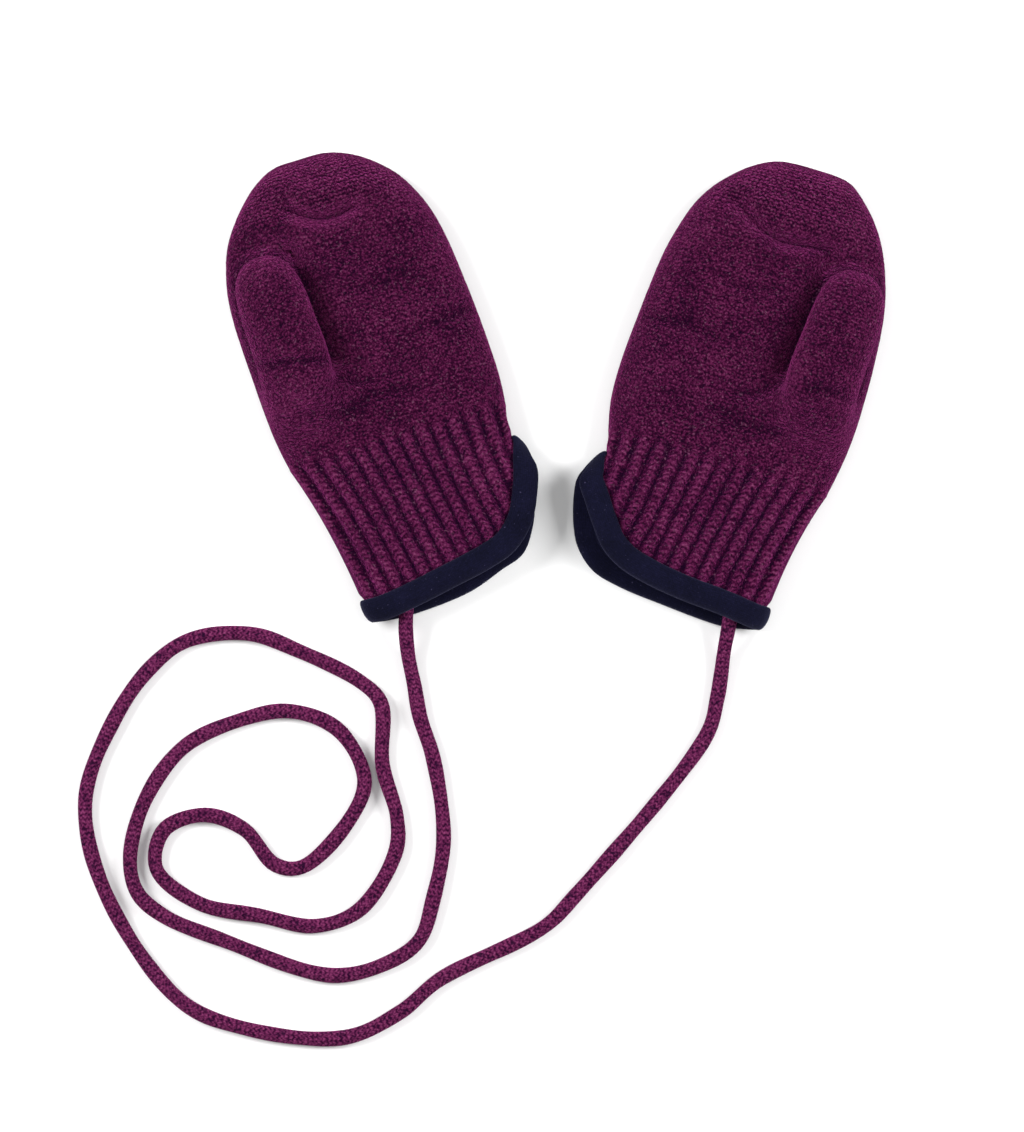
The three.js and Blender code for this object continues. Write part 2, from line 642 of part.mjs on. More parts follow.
// A solid roll round the hem, following the layers, with the half thicknesses of a section
function rollRound(mitten, section) {
  const rows = section.map((row) => {
    const palm = bindingLayer(mitten, 'palm', row.in);
    return joinLayers(palm, bindingLayer(mitten, 'back', row.in));
  });
  const normals = gridNormals(rows);
  const outerRows = moveOut(rows, normals, (r) => section[r].half);
  const innerRows = moveOut(rows, normals, (r) => -section[r].half);
  const shares = roundShares(bindingStations.palm, bindingStations.back);
  const surface = new Surface();
  const outer = wrap(surface, outerRows, shares);
  const inner = wrap(surface, innerRows.reverse(), shares);
  surface.bridge(outer[outer.length - 1], inner[0]);
  surface.bridge(inner[inner.length - 1], outer[0]);
  return surface.solid();
}

// Lining

const liningClear = 1.2; // the lining ends at the strip's edge and leaves nothing inside its fold

function liningTube(mitten) {
  const grid = cuffGrid(mitten, plainPalmCount, plainBackCount, cuffRises);
  const inFrom = (r, c) => -cuffHalf(grid.fromHem[r][c]) - seam;
  const outerRows = moveOut(grid.rows, grid.normals, inFrom).slice(1);
  const innerRows = moveOut(grid.rows, grid.normals, (r, c) => inFrom(r, c) - liningWall).slice(1);
  const surface = new Surface();
  const outer = wrap(surface, outerRows.reverse(), grid.shares);
  const inner = wrap(surface, innerRows, grid.shares);
  surface.bridge(outer[outer.length - 1], inner[0]);
  surface.bridge(inner[inner.length - 1], outer[0]);
  return surface.solid();
}

// The largest body of a solid without its finest facets: a cut between two faceted forms can leave crumbs
function mainBody(solid) {
  return solid.simplify(finestFacet).decompose().sort((a, b) => b.volume() - a.volume())[0];
}

// Materials

const plumFelt = { color: 0x50203f, roughness: 0.95, metalness: 0 };
const plumRib = { color: 0x4c1d3c, roughness: 0.95, metalness: 0 };
const navyJersey = { color: 0x17162a, roughness: 0.9, metalness: 0 };
const plumCord = { color: 0x4a1c3a, roughness: 0.93, metalness: 0 };

function meshOf(name, solid, finish, mirror = 1) {
  const { vertProperties, triVerts, numProp } = mainBody(solid).getMesh();
  const positions = new Float32Array((vertProperties.length / numProp) * 3);
  for (let i = 0; i * numProp < vertProperties.length; i += 1) {
    positions[3 * i] = vertProperties[i * numProp] * mirror;
    positions[3 * i + 1] = vertProperties[i * numProp + 1];
    positions[3 * i + 2] = vertProperties[i * numProp + 2];
  }
  const triangles = Array.from(triVerts);
  if (mirror < 0) {
    for (let i = 0; i < triangles.length; i += 3) {
      [triangles[i + 1], triangles[i + 2]] = [triangles[i + 2], triangles[i + 1]];
    }
  }
  const geometry = new THREE.BufferGeometry();
  geometry.setAttribute('position', new THREE.BufferAttribute(positions, 3));
  geometry.setIndex(triangles);
  geometry.computeVertexNormals();
  const mesh = new THREE.Mesh(geometry, new THREE.MeshStandardMaterial(finish));
  mesh.name = name;
  return mesh;
}

function mittenGroup(sizes) {
  const mitten = layOut(sizes);
  const grid = handGrid(mitten);
  const thumb = thumbGrid(mitten);
  const thumbRoom = thumbForm(thumb, -thumbWall / 2);
  const hand = handBag(grid).subtract(thumbRoom);
  const thumbBag = thumbForm(thumb, thumbWall / 2).subtract(thumbRoom).subtract(handForm(grid));
  const binding = rollRound(mitten, bindingSection).subtract(rollRound(mitten, slotSection));
  const cuffAbove = cuffSolid(mitten).subtract(rollRound(mitten, roomyStrip(seam, seam)));
  const cuff = cuffAbove.add(rollRound(mitten, hemBand(0))).subtract(binding);
  const liningAbove = liningTube(mitten).subtract(rollRound(mitten, roomyStrip(seam, liningClear)));
  const lining = liningAbove.subtract(rollRound(mitten, hemBand(seam))).subtract(binding).subtract(cuff);
  const group = new THREE.Group();
  const { name, mirror } = mitten;
  group.add(meshOf(`${name}_hand`, hand, plumFelt, mirror));
  group.add(meshOf(`${name}_thumb`, thumbBag, plumFelt, mirror));
  group.add(meshOf(`${name}_cuff`, cuff, plumRib, mirror));
  group.add(meshOf(`${name}_binding`, binding, navyJersey, mirror));
  group.add(meshOf(`${name}_lining`, lining, navyJersey, mirror));
  group.position.set(mitten.at[0], mitten.at[1], 0);
  group.rotation.z = THREE.MathUtils.degToRad(mitten.turn);
  return group;
}

// Cord

function cordMesh() {
  const points = cordRoute.map((row) => new THREE.Vector3(row.x, row.y, row.z ?? cordRest));
  const route = new THREE.CatmullRomCurve3(points, false, 'centripetal');
  const section = new THREE.Shape();
  const radius = cordDiameter / 2;
  for (let i = 0; i < cordSides; i += 1) {
    const angle = ((i + 0.5) / cordSides) * 2 * Math.PI;
    const method = i === 0 ? 'moveTo' : 'lineTo';
    section[method](radius * Math.cos(angle), radius * Math.sin(angle));
  }
  section.closePath();
  const sweep = { steps: cordSteps, extrudePath: route, curveSegments: 1 };
  const geometry = new THREE.ExtrudeGeometry(section, sweep);
  const mesh = new THREE.Mesh(geometry, new THREE.MeshStandardMaterial(plumCord));
  mesh.name = 'cord';
  return mesh;
}

const mittens = new THREE.Group();
mittens.add(mittenGroup(left));
mittens.add(mittenGroup(right));
mittens.add(cordMesh());

export default mittens;
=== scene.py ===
import math

import bmesh
import bpy
import numpy as np
from mathutils import Matrix, Vector


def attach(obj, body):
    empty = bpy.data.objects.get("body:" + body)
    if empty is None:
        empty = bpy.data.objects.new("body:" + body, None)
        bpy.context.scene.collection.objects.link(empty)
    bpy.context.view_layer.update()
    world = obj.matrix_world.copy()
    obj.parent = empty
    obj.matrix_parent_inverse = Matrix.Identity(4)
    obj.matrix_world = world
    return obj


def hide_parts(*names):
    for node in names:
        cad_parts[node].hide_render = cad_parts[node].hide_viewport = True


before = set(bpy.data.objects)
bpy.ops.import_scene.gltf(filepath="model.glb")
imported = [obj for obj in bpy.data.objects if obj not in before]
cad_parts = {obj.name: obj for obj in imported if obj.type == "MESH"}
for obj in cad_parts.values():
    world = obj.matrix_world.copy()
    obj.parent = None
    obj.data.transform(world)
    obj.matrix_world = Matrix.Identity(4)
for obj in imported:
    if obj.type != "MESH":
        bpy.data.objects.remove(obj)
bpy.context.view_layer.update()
scene = bpy.context.scene


# Shader maths

class Wire:
    def __init__(self, shader, socket):
        self.shader = shader
        self.socket = socket

    def math(self, operation, *others):
        sockets = dict(enumerate([self, *others]))
        return self.shader.node("ShaderNodeMath", {"operation": operation}, sockets)

    def __add__(self, other):
        return self.math("ADD", other)

    def __radd__(self, other):
        return self.math("ADD", other)

    def __sub__(self, other):
        return self.math("SUBTRACT", other)

    def __rsub__(self, other):
        return self.shader.node("ShaderNodeMath", {"operation": "SUBTRACT"}, {0: other, 1: self})

    def __mul__(self, other):
        return self.math("MULTIPLY", other)

    def __rmul__(self, other):
        return self.math("MULTIPLY", other)

    def __truediv__(self, other):
        return self.math("DIVIDE", other)

    def __pow__(self, other):
        return self.math("POWER", other)

    def sine(self):
        return self.math("SINE")

    def size(self):
        return self.math("ABSOLUTE")

    def fraction(self):
        return self.math("FRACT")

    def clamped(self):
        return self.shader.node("ShaderNodeClamp", {}, {0: self})


class Shader:
    def __init__(self, name):
        self.material = bpy.data.materials.new(name)
        self.material.use_nodes = True
        self.tree = self.material.node_tree
        self.surface = self.tree.nodes["Principled BSDF"]

    def node(self, kind, settings, sockets, output=0):
        made = self.tree.nodes.new(kind)
        for key, value in settings.items():
            if key == "stops":
                stops = made.color_ramp.elements
                while len(stops) < len(value):
                    stops.new(0.5)
                for stop, (position, colour) in zip(stops, value):
                    stop.position = position
                    stop.color = (*colour, 1)
            else:
                setattr(made, key, value)
        for key, value in sockets.items():
            if isinstance(value, Wire):
                self.tree.links.new(value.socket, made.inputs[key])
            else:
                made.inputs[key].default_value = value
        return Wire(self, made.outputs[output])

    def attribute(self, name, output="Vector"):
        return self.node("ShaderNodeAttribute", {"attribute_name": name}, {}, output)

    def parts(self, vector):
        kind = "ShaderNodeSeparateXYZ"
        return [self.node(kind, {}, {0: vector}, k) for k in range(3)]

    def noise(self, where, scale, detail=2.0, roughness=0.55):
        sockets = {"Vector": where, "Scale": scale, "Detail": detail, "Roughness": roughness}
        return self.node("ShaderNodeTexNoise", {"noise_dimensions": "3D"}, sockets, "Fac")

    def cells(self, where, scale, soft=0.5):
        settings = {"voronoi_dimensions": "3D", "feature": "SMOOTH_F1"}
        sockets = {"Vector": where, "Scale": scale, "Smoothness": soft}
        return self.node("ShaderNodeTexVoronoi", settings, sockets, "Distance")

    # Blends two colours; a Mix node's colour sockets are its inputs 6 and 7 and its output 2
    def mix(self, share, a, b):
        a, b = (colour if isinstance(colour, Wire) else (*colour, 1) for colour in (a, b))
        return self.node("ShaderNodeMix", {"data_type": "RGBA"}, {0: share, 6: a, 7: b}, 2)

    def blend(self, share, a, b):
        return a + (b - a) * share

    def feed(self, **sockets):
        for key, value in sockets.items():
            socket = self.surface.inputs[key.replace("_", " ")]
            if isinstance(value, Wire):
                self.tree.links.new(value.socket, socket)
            else:
                socket.default_value = value

    def bump(self, height, distance, strength=1.0):
        sockets = {"Strength": strength, "Distance": distance, "Height": height}
        return self.node("ShaderNodeBump", {}, sockets, "Normal")


# Camera, straight above as the photograph was taken

cameraSizes = {"centre": (-0.0131, -0.0523), "height": 0.3396, "distance": 2.6, "sensor": 36.0}


def makeCamera(sizes):
    data = bpy.data.cameras.new("camera")
    data.sensor_width = sizes["sensor"]
    data.lens = sizes["sensor"] * sizes["distance"] / sizes["height"]
    data.clip_end = 20
    camera = bpy.data.objects.new("camera", data)
    camera.location = (*sizes["centre"], sizes["distance"])
    scene.collection.objects.link(camera)
    scene.camera = camera


makeCamera(cameraSizes)
print("camera placed")


# Curves and grids

# A smooth line through points, with an even number of steps between each two
def smoothLine(points, steps):
    rows = [np.array(p, float) for p in points]
    rows = [2 * rows[0] - rows[1], *rows, 2 * rows[-1] - rows[-2]]
    line = []
    for a, b, c, d in zip(rows, rows[1:], rows[2:], rows[3:]):
        gaps = [np.linalg.norm(q - p) ** 0.5 for p, q in ((a, b), (b, c), (c, d))]
        t0, t1, t2, t3 = np.cumsum([0, *gaps])
        for t in np.linspace(t1, t2, steps, endpoint=False):
            ab = a + (b - a) * (t - t0) / (t1 - t0)
            bc = b + (c - b) * (t - t1) / (t2 - t1)
            cd = c + (d - c) * (t - t2) / (t3 - t2)
            low = ab + (bc - ab) * (t - t0) / (t2 - t0)
            high = bc + (cd - bc) * (t - t1) / (t3 - t1)
            line.append(low + (high - low) * (t - t1) / (t2 - t1))
    line.append(rows[-2])
    return np.array(line)


def softened(line, rounds):
    for _ in range(rounds):
        line = np.concatenate([line[:1], (line[:-2] + 2 * line[1:-1] + line[2:]) / 4, line[-1:]])
    return line


def travel(line):
    steps = np.linalg.norm(np.diff(line, axis=0), axis=1)
    return np.concatenate([[0], np.cumsum(steps)])


# The line at the given shares of its measure
def resample(line, measure, shares):
    want = np.asarray(shares) * measure[-1]
    return np.stack([np.interp(want, measure, line[:, k]) for k in range(line.shape[1])], axis=1)


def smoothStep(x, low, high):
    share = np.clip((x - low) / (high - low), 0, 1)
    return share * share * (3 - 2 * share)


# Rises from 0 to 1 over the reach as a rounded edge does
def rounded(distance, reach, power=2.2):
    rest = 1 - np.clip(distance / reach, 0, 1)
    return (1 - rest ** power) ** (1 / power)


# How far each point is from a line in plan, and the nearest point on the line
def nearestOn(line, u, v):
    away = np.full(u.shape, 1e9)
    footU = np.zeros(u.shape)
    footV = np.zeros(u.shape)
    for k in range(len(line) - 1):
        a = line[k]
        span = line[k + 1] - a
        if not span.any():
            continue
        share = np.clip(((u - a[0]) * span[0] + (v - a[1]) * span[1]) / (span @ span), 0, 1)
        hitU = a[0] + share * span[0]
        hitV = a[1] + share * span[1]
        gap = np.hypot(u - hitU, v - hitV)
        closer = gap < away
        away = np.where(closer, gap, away)
        footU = np.where(closer, hitU, footU)
        footV = np.where(closer, hitV, footV)
    return away, footU, footV


# A cloth grid: points has a row for each step along and a column for each step across
def clothGrid(bm, points, marks={}):
    along = points.shape[0] - 1
    across = points.shape[1] - 1
    for name in marks:
        bm.verts.layers.float_vector.new(name)
    layers = {name: bm.verts.layers.float_vector[name] for name in marks}
    made = bmesh.ops.create_grid(bm, x_segments=across, y_segments=along, size=0.5)
    for vert in made["verts"]:
        column = round((vert.co.x + 0.5) * across)
        row = round((vert.co.y + 0.5) * along)
        for name, layer in layers.items():
            vert[layer] = marks[name][row, column]
        vert.co = points[row, column]
    return made["verts"]


def finishPiece(name, bm, material, nodes, placing=None, flip=False):
    if placing is not None:
        bmesh.ops.transform(bm, matrix=placing, verts=bm.verts)
    if flip:
        bmesh.ops.reverse_faces(bm, faces=bm.faces)
    for face in bm.faces:
        face.smooth = True
    mesh = bpy.data.meshes.new(name)
    bm.to_mesh(mesh)
    bm.free()
    mesh.materials.append(material)
    piece = bpy.data.objects.new(name, mesh)
    scene.collection.objects.link(piece)
    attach(piece, "root")
    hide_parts(*nodes)
    return piece


# The wall grows inwards from the cloth's outside
def addWall(piece, thickness):
    wall = piece.modifiers.new("wall", "SOLIDIFY")
    wall.thickness = thickness / 1000
    wall.offset = -1
    return wall


# Knit materials. A "knit" mark holds the place on the cloth in millimetres and the rib number, and a
# finish-and-shade mark holds how far the cloth is ribbed, how much painted shade darkens its colour in
# wrinkles and at the foot of the thumb, and how far it is lined with stitches.

knitLooks = {
    "stitchWide": 1.5, "stitchHigh": 1.2, "ribStitchHigh": 1.75, "grains": 1250, "bumpDepth": 0.0013,
    "gap": (0.009, 0.0006, 0.009), "deep": (0.032, 0.0020, 0.019),
    "plain": (0.098, 0.0105, 0.053), "crest": (0.208, 0.047, 0.124),
    "fleck": (0.005, 0.0007, 0.009), "haze": (0.25, 0.098, 0.175),
    "sheen": 0.50, "sheenTint": (0.60, 0.07, 0.36, 1),
}


def knitMaterial(name, looks):
    shader = Shader(name)
    spot = shader.node("ShaderNodeTexCoord", {}, {}, "Object")
    across, along, rib = shader.parts(shader.attribute("knit"))
    ribbed, paintedShade, lined = shader.parts(shader.attribute("finish"))
    drift = shader.noise(spot, 430, 2.0) - 0.5
    lean = shader.noise(spot, 610, 1.0) - 0.5
    grains = 1 - shader.cells(spot, looks["grains"]) * 1.25
    fine = shader.noise(spot, 1900, 3.0, 0.65) - 0.5
    cloud = shader.noise(spot, 70, 3.0) - 0.5

    leg = (((across + drift * 1.6) / looks["stitchWide"]).fraction() - 0.5).size() * 2
    row = (along + lean * 1.5) / looks["stitchHigh"] + leg * 0.45
    loops = ((row * (2 * math.pi)).sine() * 0.5 + 0.5) * (1 - leg ** 6 * 0.6)

    place = (rib + drift * 0.22).fraction()
    crest = (place * math.pi).sine() ** 1.6
    half = ((place * 2).fraction() - 0.5).size()
    ribRow = (along + lean * 2.0) / looks["ribStitchHigh"] + (place - 0.5).size() * 1.5
    braid = ((ribRow * (2 * math.pi)).sine() * 0.5 + 0.5) * (1 - half * 0.5) + 0.15
    ribs = (crest + drift * 1.3).clamped() * (braid * 0.72 + 0.30)

    plainHeight = grains * 0.44 + loops * (0.18 + lined * 0.22) + fine * 1.05 + 0.09 - lined * 0.10
    ribHeight = ribs * 0.52 + grains * 0.34 + fine * 0.85 - 0.01
    height = shader.blend(ribbed, plainHeight, ribHeight)
    # The second finish-and-shade value is painted shade: it darkens the colour in wrinkles and at the foot of
    # the thumb
    shade = (height + cloud * 0.40 - paintedShade * (0.28 + drift * 0.7)).clamped()
    stops = [(0.10, looks["gap"]), (0.30, looks["deep"]), (0.54, looks["plain"]), (0.92, looks["crest"])]
    colour = shader.node("ShaderNodeValToRGB", {"stops": stops}, {0: shade}, "Color")
    dark = shader.noise(spot, 900, 1.5)
    # Painted shade in the rib grooves: dark flecks are made denser there, darkening the colour between ribs
    grooveShade = (1 - crest) * ribbed
    colour = shader.mix(((dark + grooveShade * 0.11 - 0.585) * 9).clamped() * 0.8, colour, looks["fleck"])
    pale = shader.noise(spot, 1300, 1.0)
    colour = shader.mix(((pale - 0.62) * 7).clamped() * 0.38, colour, looks["haze"])
    normal = shader.bump(height, looks["bumpDepth"])
    shader.feed(Base_Color=colour, Roughness=0.95, Normal=normal, Specular_IOR_Level=0.02)
    shader.feed(Sheen_Weight=looks["sheen"], Sheen_Roughness=0.3, Sheen_Tint=looks["sheenTint"])
    return shader.material


jerseyLooks = {
    "deep": (0.0010, 0.0011, 0.0050), "plain": (0.0028, 0.0028, 0.0120), "crest": (0.0075, 0.0072, 0.025),
    "lint": (0.09, 0.08, 0.16), "waleWide": 0.62, "courseHigh": 0.5, "bumpDepth": 0.00022,
    "sheen": 0.10, "sheenTint": (0.45, 0.45, 0.85, 1),
}


def jerseyMaterial(name, looks):
    shader = Shader(name)
    spot = shader.node("ShaderNodeTexCoord", {}, {}, "Object")
    across, along, _ = shader.parts(shader.attribute("knit"))
    grain = shader.noise(spot, 1500, 4.0, 0.65)
    cloud = shader.noise(spot, 140, 2.0) - 0.5
    wander = (shader.noise(spot, 700, 1.0) - 0.5) * 0.5
    wales = ((across + wander) * (2 * math.pi / looks["waleWide"])).sine() * 0.5 + 0.5
    courses = ((along + wander) * (2 * math.pi / looks["courseHigh"])).sine() * 0.5 + 0.5
    height = wales * courses * 0.22 + grain * 0.78
    shade = (height * 1.5 - 0.25 + cloud * 0.6).clamped()
    stops = [(0.1, looks["deep"]), (0.5, looks["plain"]), (0.95, looks["crest"])]
    colour = shader.node("ShaderNodeValToRGB", {"stops": stops}, {0: shade}, "Color")
    lint = shader.noise(spot, 1900, 0.0)
    colour = shader.mix(((lint - 0.80) * 12).clamped() * 0.4, colour, looks["lint"])
    normal = shader.bump(height, looks["bumpDepth"])
    shader.feed(Base_Color=colour, Roughness=0.95, Normal=normal, Specular_IOR_Level=0.06)
    shader.feed(Sheen_Weight=looks["sheen"], Sheen_Roughness=0.5, Sheen_Tint=looks["sheenTint"])
    return shader.material


plumKnit = knitMaterial("plumKnit", knitLooks)
navyJersey = jerseyMaterial("navyJersey", jerseyLooks)
print("materials made")


# Cord, from inside the left cuff to inside the right cuff

cordSizes = {"diameter": 0.0044, "length": 0.994, "rings": 620, "sides": 16}
cordRoute = [
    (-0.0426, -0.0485, 0.0065), (-0.0442, -0.0605, 0.0066), (-0.0449, -0.07, 0.0063),
    (-0.0442, -0.079, 0.0036), (-0.0424, -0.088, 0.00245), (-0.0407, -0.0975), (-0.0367, -0.11),
    (-0.0336, -0.134), (-0.0368, -0.1525), (-0.0408, -0.1643), (-0.0495, -0.1708), (-0.067, -0.175),
    (-0.1007, -0.1641), (-0.1175, -0.1572), (-0.1254, -0.1502), (-0.1276, -0.14), (-0.1231, -0.1225),
    (-0.1115, -0.1066), (-0.0947, -0.0985), (-0.0795, -0.0958), (-0.065, -0.1016), (-0.0573, -0.1165),
    (-0.062, -0.1286), (-0.076, -0.1425), (-0.0842, -0.1418), (-0.0933, -0.1313), (-0.1052, -0.1269),
    (-0.1174, -0.1314), (-0.1197, -0.143), (-0.1069, -0.1534), (-0.0887, -0.1571), (-0.0722, -0.1602),
    (-0.0589, -0.1554), (-0.048, -0.138), (-0.0476, -0.1275), (-0.0519, -0.112), (-0.0525, -0.0932),
    (-0.0588, -0.0868), (-0.0767, -0.0779), (-0.0917, -0.0726), (-0.11, -0.0745), (-0.1212, -0.0825),
    (-0.1324, -0.0984), (-0.141, -0.1225), (-0.1353, -0.1495), (-0.1128, -0.1823), (-0.0947, -0.1905),
    (-0.0633, -0.1936), (-0.0467, -0.1861), (-0.0347, -0.1762), (-0.0034, -0.1604), (0.0057, -0.1513),
    (0.0452, -0.103), (0.0484, -0.092, 0.0023), (0.0496, -0.0845, 0.0026), (0.0504, -0.078, 0.004),
    (0.0519, -0.0695, 0.0066), (0.0544, -0.053, 0.0065),
]
cordRest = 0.00225  # height of its middle line where it lies on the surface

cordLooks = {
    "gap": (0.018, 0.002, 0.016), "deep": (0.060, 0.007, 0.036), "plain": (0.125, 0.018, 0.070),
    "crest": (0.240, 0.050, 0.140), "fleck": (0.010, 0.002, 0.014), "grains": 1150, "stitchHigh": 1.45,
    "bumpDepth": 0.0005, "sheen": 0.4, "sheenTint": (0.60, 0.10, 0.38, 1),
}


def cordMaterial(name, looks):
    shader = Shader(name)
    spot = shader.node("ShaderNodeTexCoord", {}, {}, "Object")
    column, along, _ = shader.parts(shader.attribute("knit"))
    grains = 1 - shader.cells(spot, looks["grains"]) * 1.2
    fine = shader.noise(spot, 2100, 3.0, 0.6) - 0.5
    lean = shader.noise(spot, 700, 1.0) - 0.5
    leg = (column.fraction() - 0.5).size() * 2
    row = (along + lean * 1.2) / looks["stitchHigh"] + leg * 0.5
    loops = ((row * (2 * math.pi)).sine() * 0.5 + 0.5) * (1 - leg ** 5 * 0.6)
    height = loops * 0.30 + grains * 0.50 + fine * 0.6
    stops = [(0.08, looks["gap"]), (0.26, looks["deep"]), (0.5, looks["plain"]), (0.9, looks["crest"])]
    colour = shader.node("ShaderNodeValToRGB", {"stops": stops}, {0: height.clamped()}, "Color")
    dark = shader.noise(spot, 640, 1.0)
    colour = shader.mix(((dark - 0.60) * 10).clamped() * 0.8, colour, looks["fleck"])
    normal = shader.bump(height, looks["bumpDepth"])
    shader.feed(Base_Color=colour, Roughness=0.95, Normal=normal, Specular_IOR_Level=0.02)
    shader.feed(Sheen_Weight=looks["sheen"], Sheen_Roughness=0.3, Sheen_Tint=looks["sheenTint"])
    return shader.material


def makeCord(sizes, route):
    dense = smoothLine([(*point, cordRest)[:3] for point in route], 24)
    centre = resample(dense, travel(dense), np.linspace(0, 1, sizes["rings"]))
    length = travel(centre)
    ahead = np.gradient(centre, axis=0)
    ahead /= np.linalg.norm(ahead, axis=1)[:, None]
    side = np.cross(ahead, (0, 0, 1))
    side /= np.linalg.norm(side, axis=1)[:, None]
    rise = np.cross(side, ahead)
    angles = np.linspace(-math.pi, math.pi, sizes["sides"] + 1)
    swell = 1 + 0.035 * np.sin(length * 310) + 0.025 * np.sin(length * 127 + 1)
    reach = sizes["diameter"] / 2 * swell
    across = reach[:, None] * np.cos(angles)
    up = reach[:, None] * np.sin(angles) * 0.97
    points = centre[:, None] + across[..., None] * side[:, None] + up[..., None] * rise[:, None]
    points[..., 2] = np.maximum(points[..., 2], 0.00004)
    knit = np.zeros(points.shape)
    knit[..., 0] = np.abs(angles)[None, :] / math.pi * 5
    knit[..., 1] = length[:, None] * 1000
    bm = bmesh.new()
    clothGrid(bm, points, {"knit": knit})
    bmesh.ops.remove_doubles(bm, verts=bm.verts, dist=1e-6)
    bmesh.ops.holes_fill(bm, edges=bm.edges, sides=0)
    bmesh.ops.recalc_face_normals(bm, faces=bm.faces)
    piece = finishPiece("cord", bm, cordMaterial("plumCord", cordLooks), ["cord"])


makeCord(cordSizes, cordRoute)
print("cord laid")


# Mittens. Both are made in one flat frame in millimetres: u runs across from the thumb side and v from
# the hem to the tip. The right one is then mirrored and both are laid in place. A crease or a wrinkle is
# its points, its width and its depth, and a depth below nought is a ridge. A wrinkle's depth is pressed
# into the hand and also painted as shade, darker colour along it. A thumb's rows are its place
# up the mitten, its middle, its half width, its floor and its top.

clothSizes = {
    "half": 1.1, "hemHalf": 0.35,  # how far the cloth's outside is from its middle, and inside the binding
    "wall": 1.8, "cuffWall": 1.4, "hemWall": 0.7, "lowest": 0.02,
    "domeReach": 15, "footReach": 8, "waist": 0.22, "waistCentre": -2,
    "ribs": 14, "ribRise": 0.65, "ribDip": 0.45, "backRibs": 0.6, "ribFade": (-2, 4),
    "sideSteps": 24, "sideSoftness": 5, "hemSteps": 30, "sideRise": 6.2,
}
bandSizes = {"reach": 6.1, "half": 1.9, "foldTurn": 9, "liftEnd": 15}
levels = {
    "v": [-10, 10, 44, 60, 88, 108, 122, 134],
    "fold": [6.8, 6.7, 5.8, 5.6, 5.6, 5.2, 4.8, 4.6],
    "palm": [12.0, 12.0, 11.6, 12.4, 12.3, 11.2, 10.2, 9.6],
}

leftMitten = {
    "name": "left", "mirror": 1, "at": (-32.0, -55.17), "turn": 17, "ribTop": 44, "tip": (-7.9, 132.3),
    "thumbEdge": [(-36.4, 44), (-37.9, 52), (-38.6, 62), (-39.2, 74), (-39.6, 86), (-39.3, 97),
                  (-37.5, 106), (-34.9, 113), (-30.8, 119), (-26.3, 124), (-21.6, 128), (-15.4, 131)],
    "fingerEdge": [(31.3, 44), (32.1, 52), (31.9, 62), (31.3, 74), (30.3, 86), (29.1, 97),
                   (27.2, 106), (24.4, 113), (20.8, 119), (15.9, 124), (10.4, 128), (2.8, 131)],
    "palmHem": [(-25.4, -5.6), (-22, -5.9), (-13.3, -5.0), (1, -2.5), (12, -0.4), (20.4, 2.4),
                (27.0, 8.2), (31.4, 16.5), (33.6, 24), (32.4, 28.5)],
    "backHem": [(-25.4, -5.6), (-22, -6.2), (-13.7, -6.7), (4.2, -5.3), (15.4, -1.7), (22.4, 0.8),
                (27.0, 6.9), (30.7, 15.9), (33.0, 23.3), (32.4, 28.5)],
    "creases": [([(-14, 118.5), (-11, 116), (-6.4, 113.5), (-0.7, 112.7), (6, 114)], 2.5, 2.6),
                ([(-9, 121), (0, 119), (9, 120)], 4.5, -0.9),
                ([(-35, 107.5), (-30, 110.5), (-22, 110.5), (-16.5, 106)], 3.2, 2.4),
                ([(-17, 106), (-15.6, 98), (-15.4, 86), (-14.2, 72)], 3.4, 2.5),
                ([(-13, 72), (-5, 65), (2, 63)], 5, 0.9), ([(-6, 104), (4, 101), (13, 102)], 6, 0.6),
                ([(6, 84), (18, 87), (28, 84)], 5, 0.5), ([(-2, 57), (12, 60), (27, 56)], 6, 0.6)],
    "wrinkles": [([(-14, 118.5), (-11, 116), (-6.4, 113.5), (-0.7, 112.7), (4, 113.6)], 1.2, 1.0),
                 ([(-37, 76.5), (-31, 75.5), (-24, 74.5), (-17, 72.5)], 1.4, 0.8),
                 ([(-16, 66), (-9, 63), (0, 62)], 1.6, 0.6),
                 ([(-28, 60), (-16, 57), (-4, 58), (8, 56)], 2.0, 0.5),
                 ([(10, 72), (20, 74), (28, 73)], 1.8, 0.4), ([(-2, 91), (8, 89), (16, 91)], 1.8, 0.35)],
    "thumb": [(48, -28.5, 8.5, 4.6, 10.6), (54, -28.0, 9.8, 6.0, 14.6), (61, -27.2, 10.8, 8.0, 18.6),
              (68, -26.2, 11.1, 10.4, 21.4), (76, -25.7, 11.0, 12.6, 22.8), (86, -26.1, 10.7, 12.8, 23.0),
              (95, -26.4, 10.3, 12.8, 22.4), (101, -26.6, 8.9, 13.2, 21.4), (105, -26.6, 6.0, 14.0, 19.8),
              (106.4, -26.5, 3.2, 15.4, 18.4)],
}
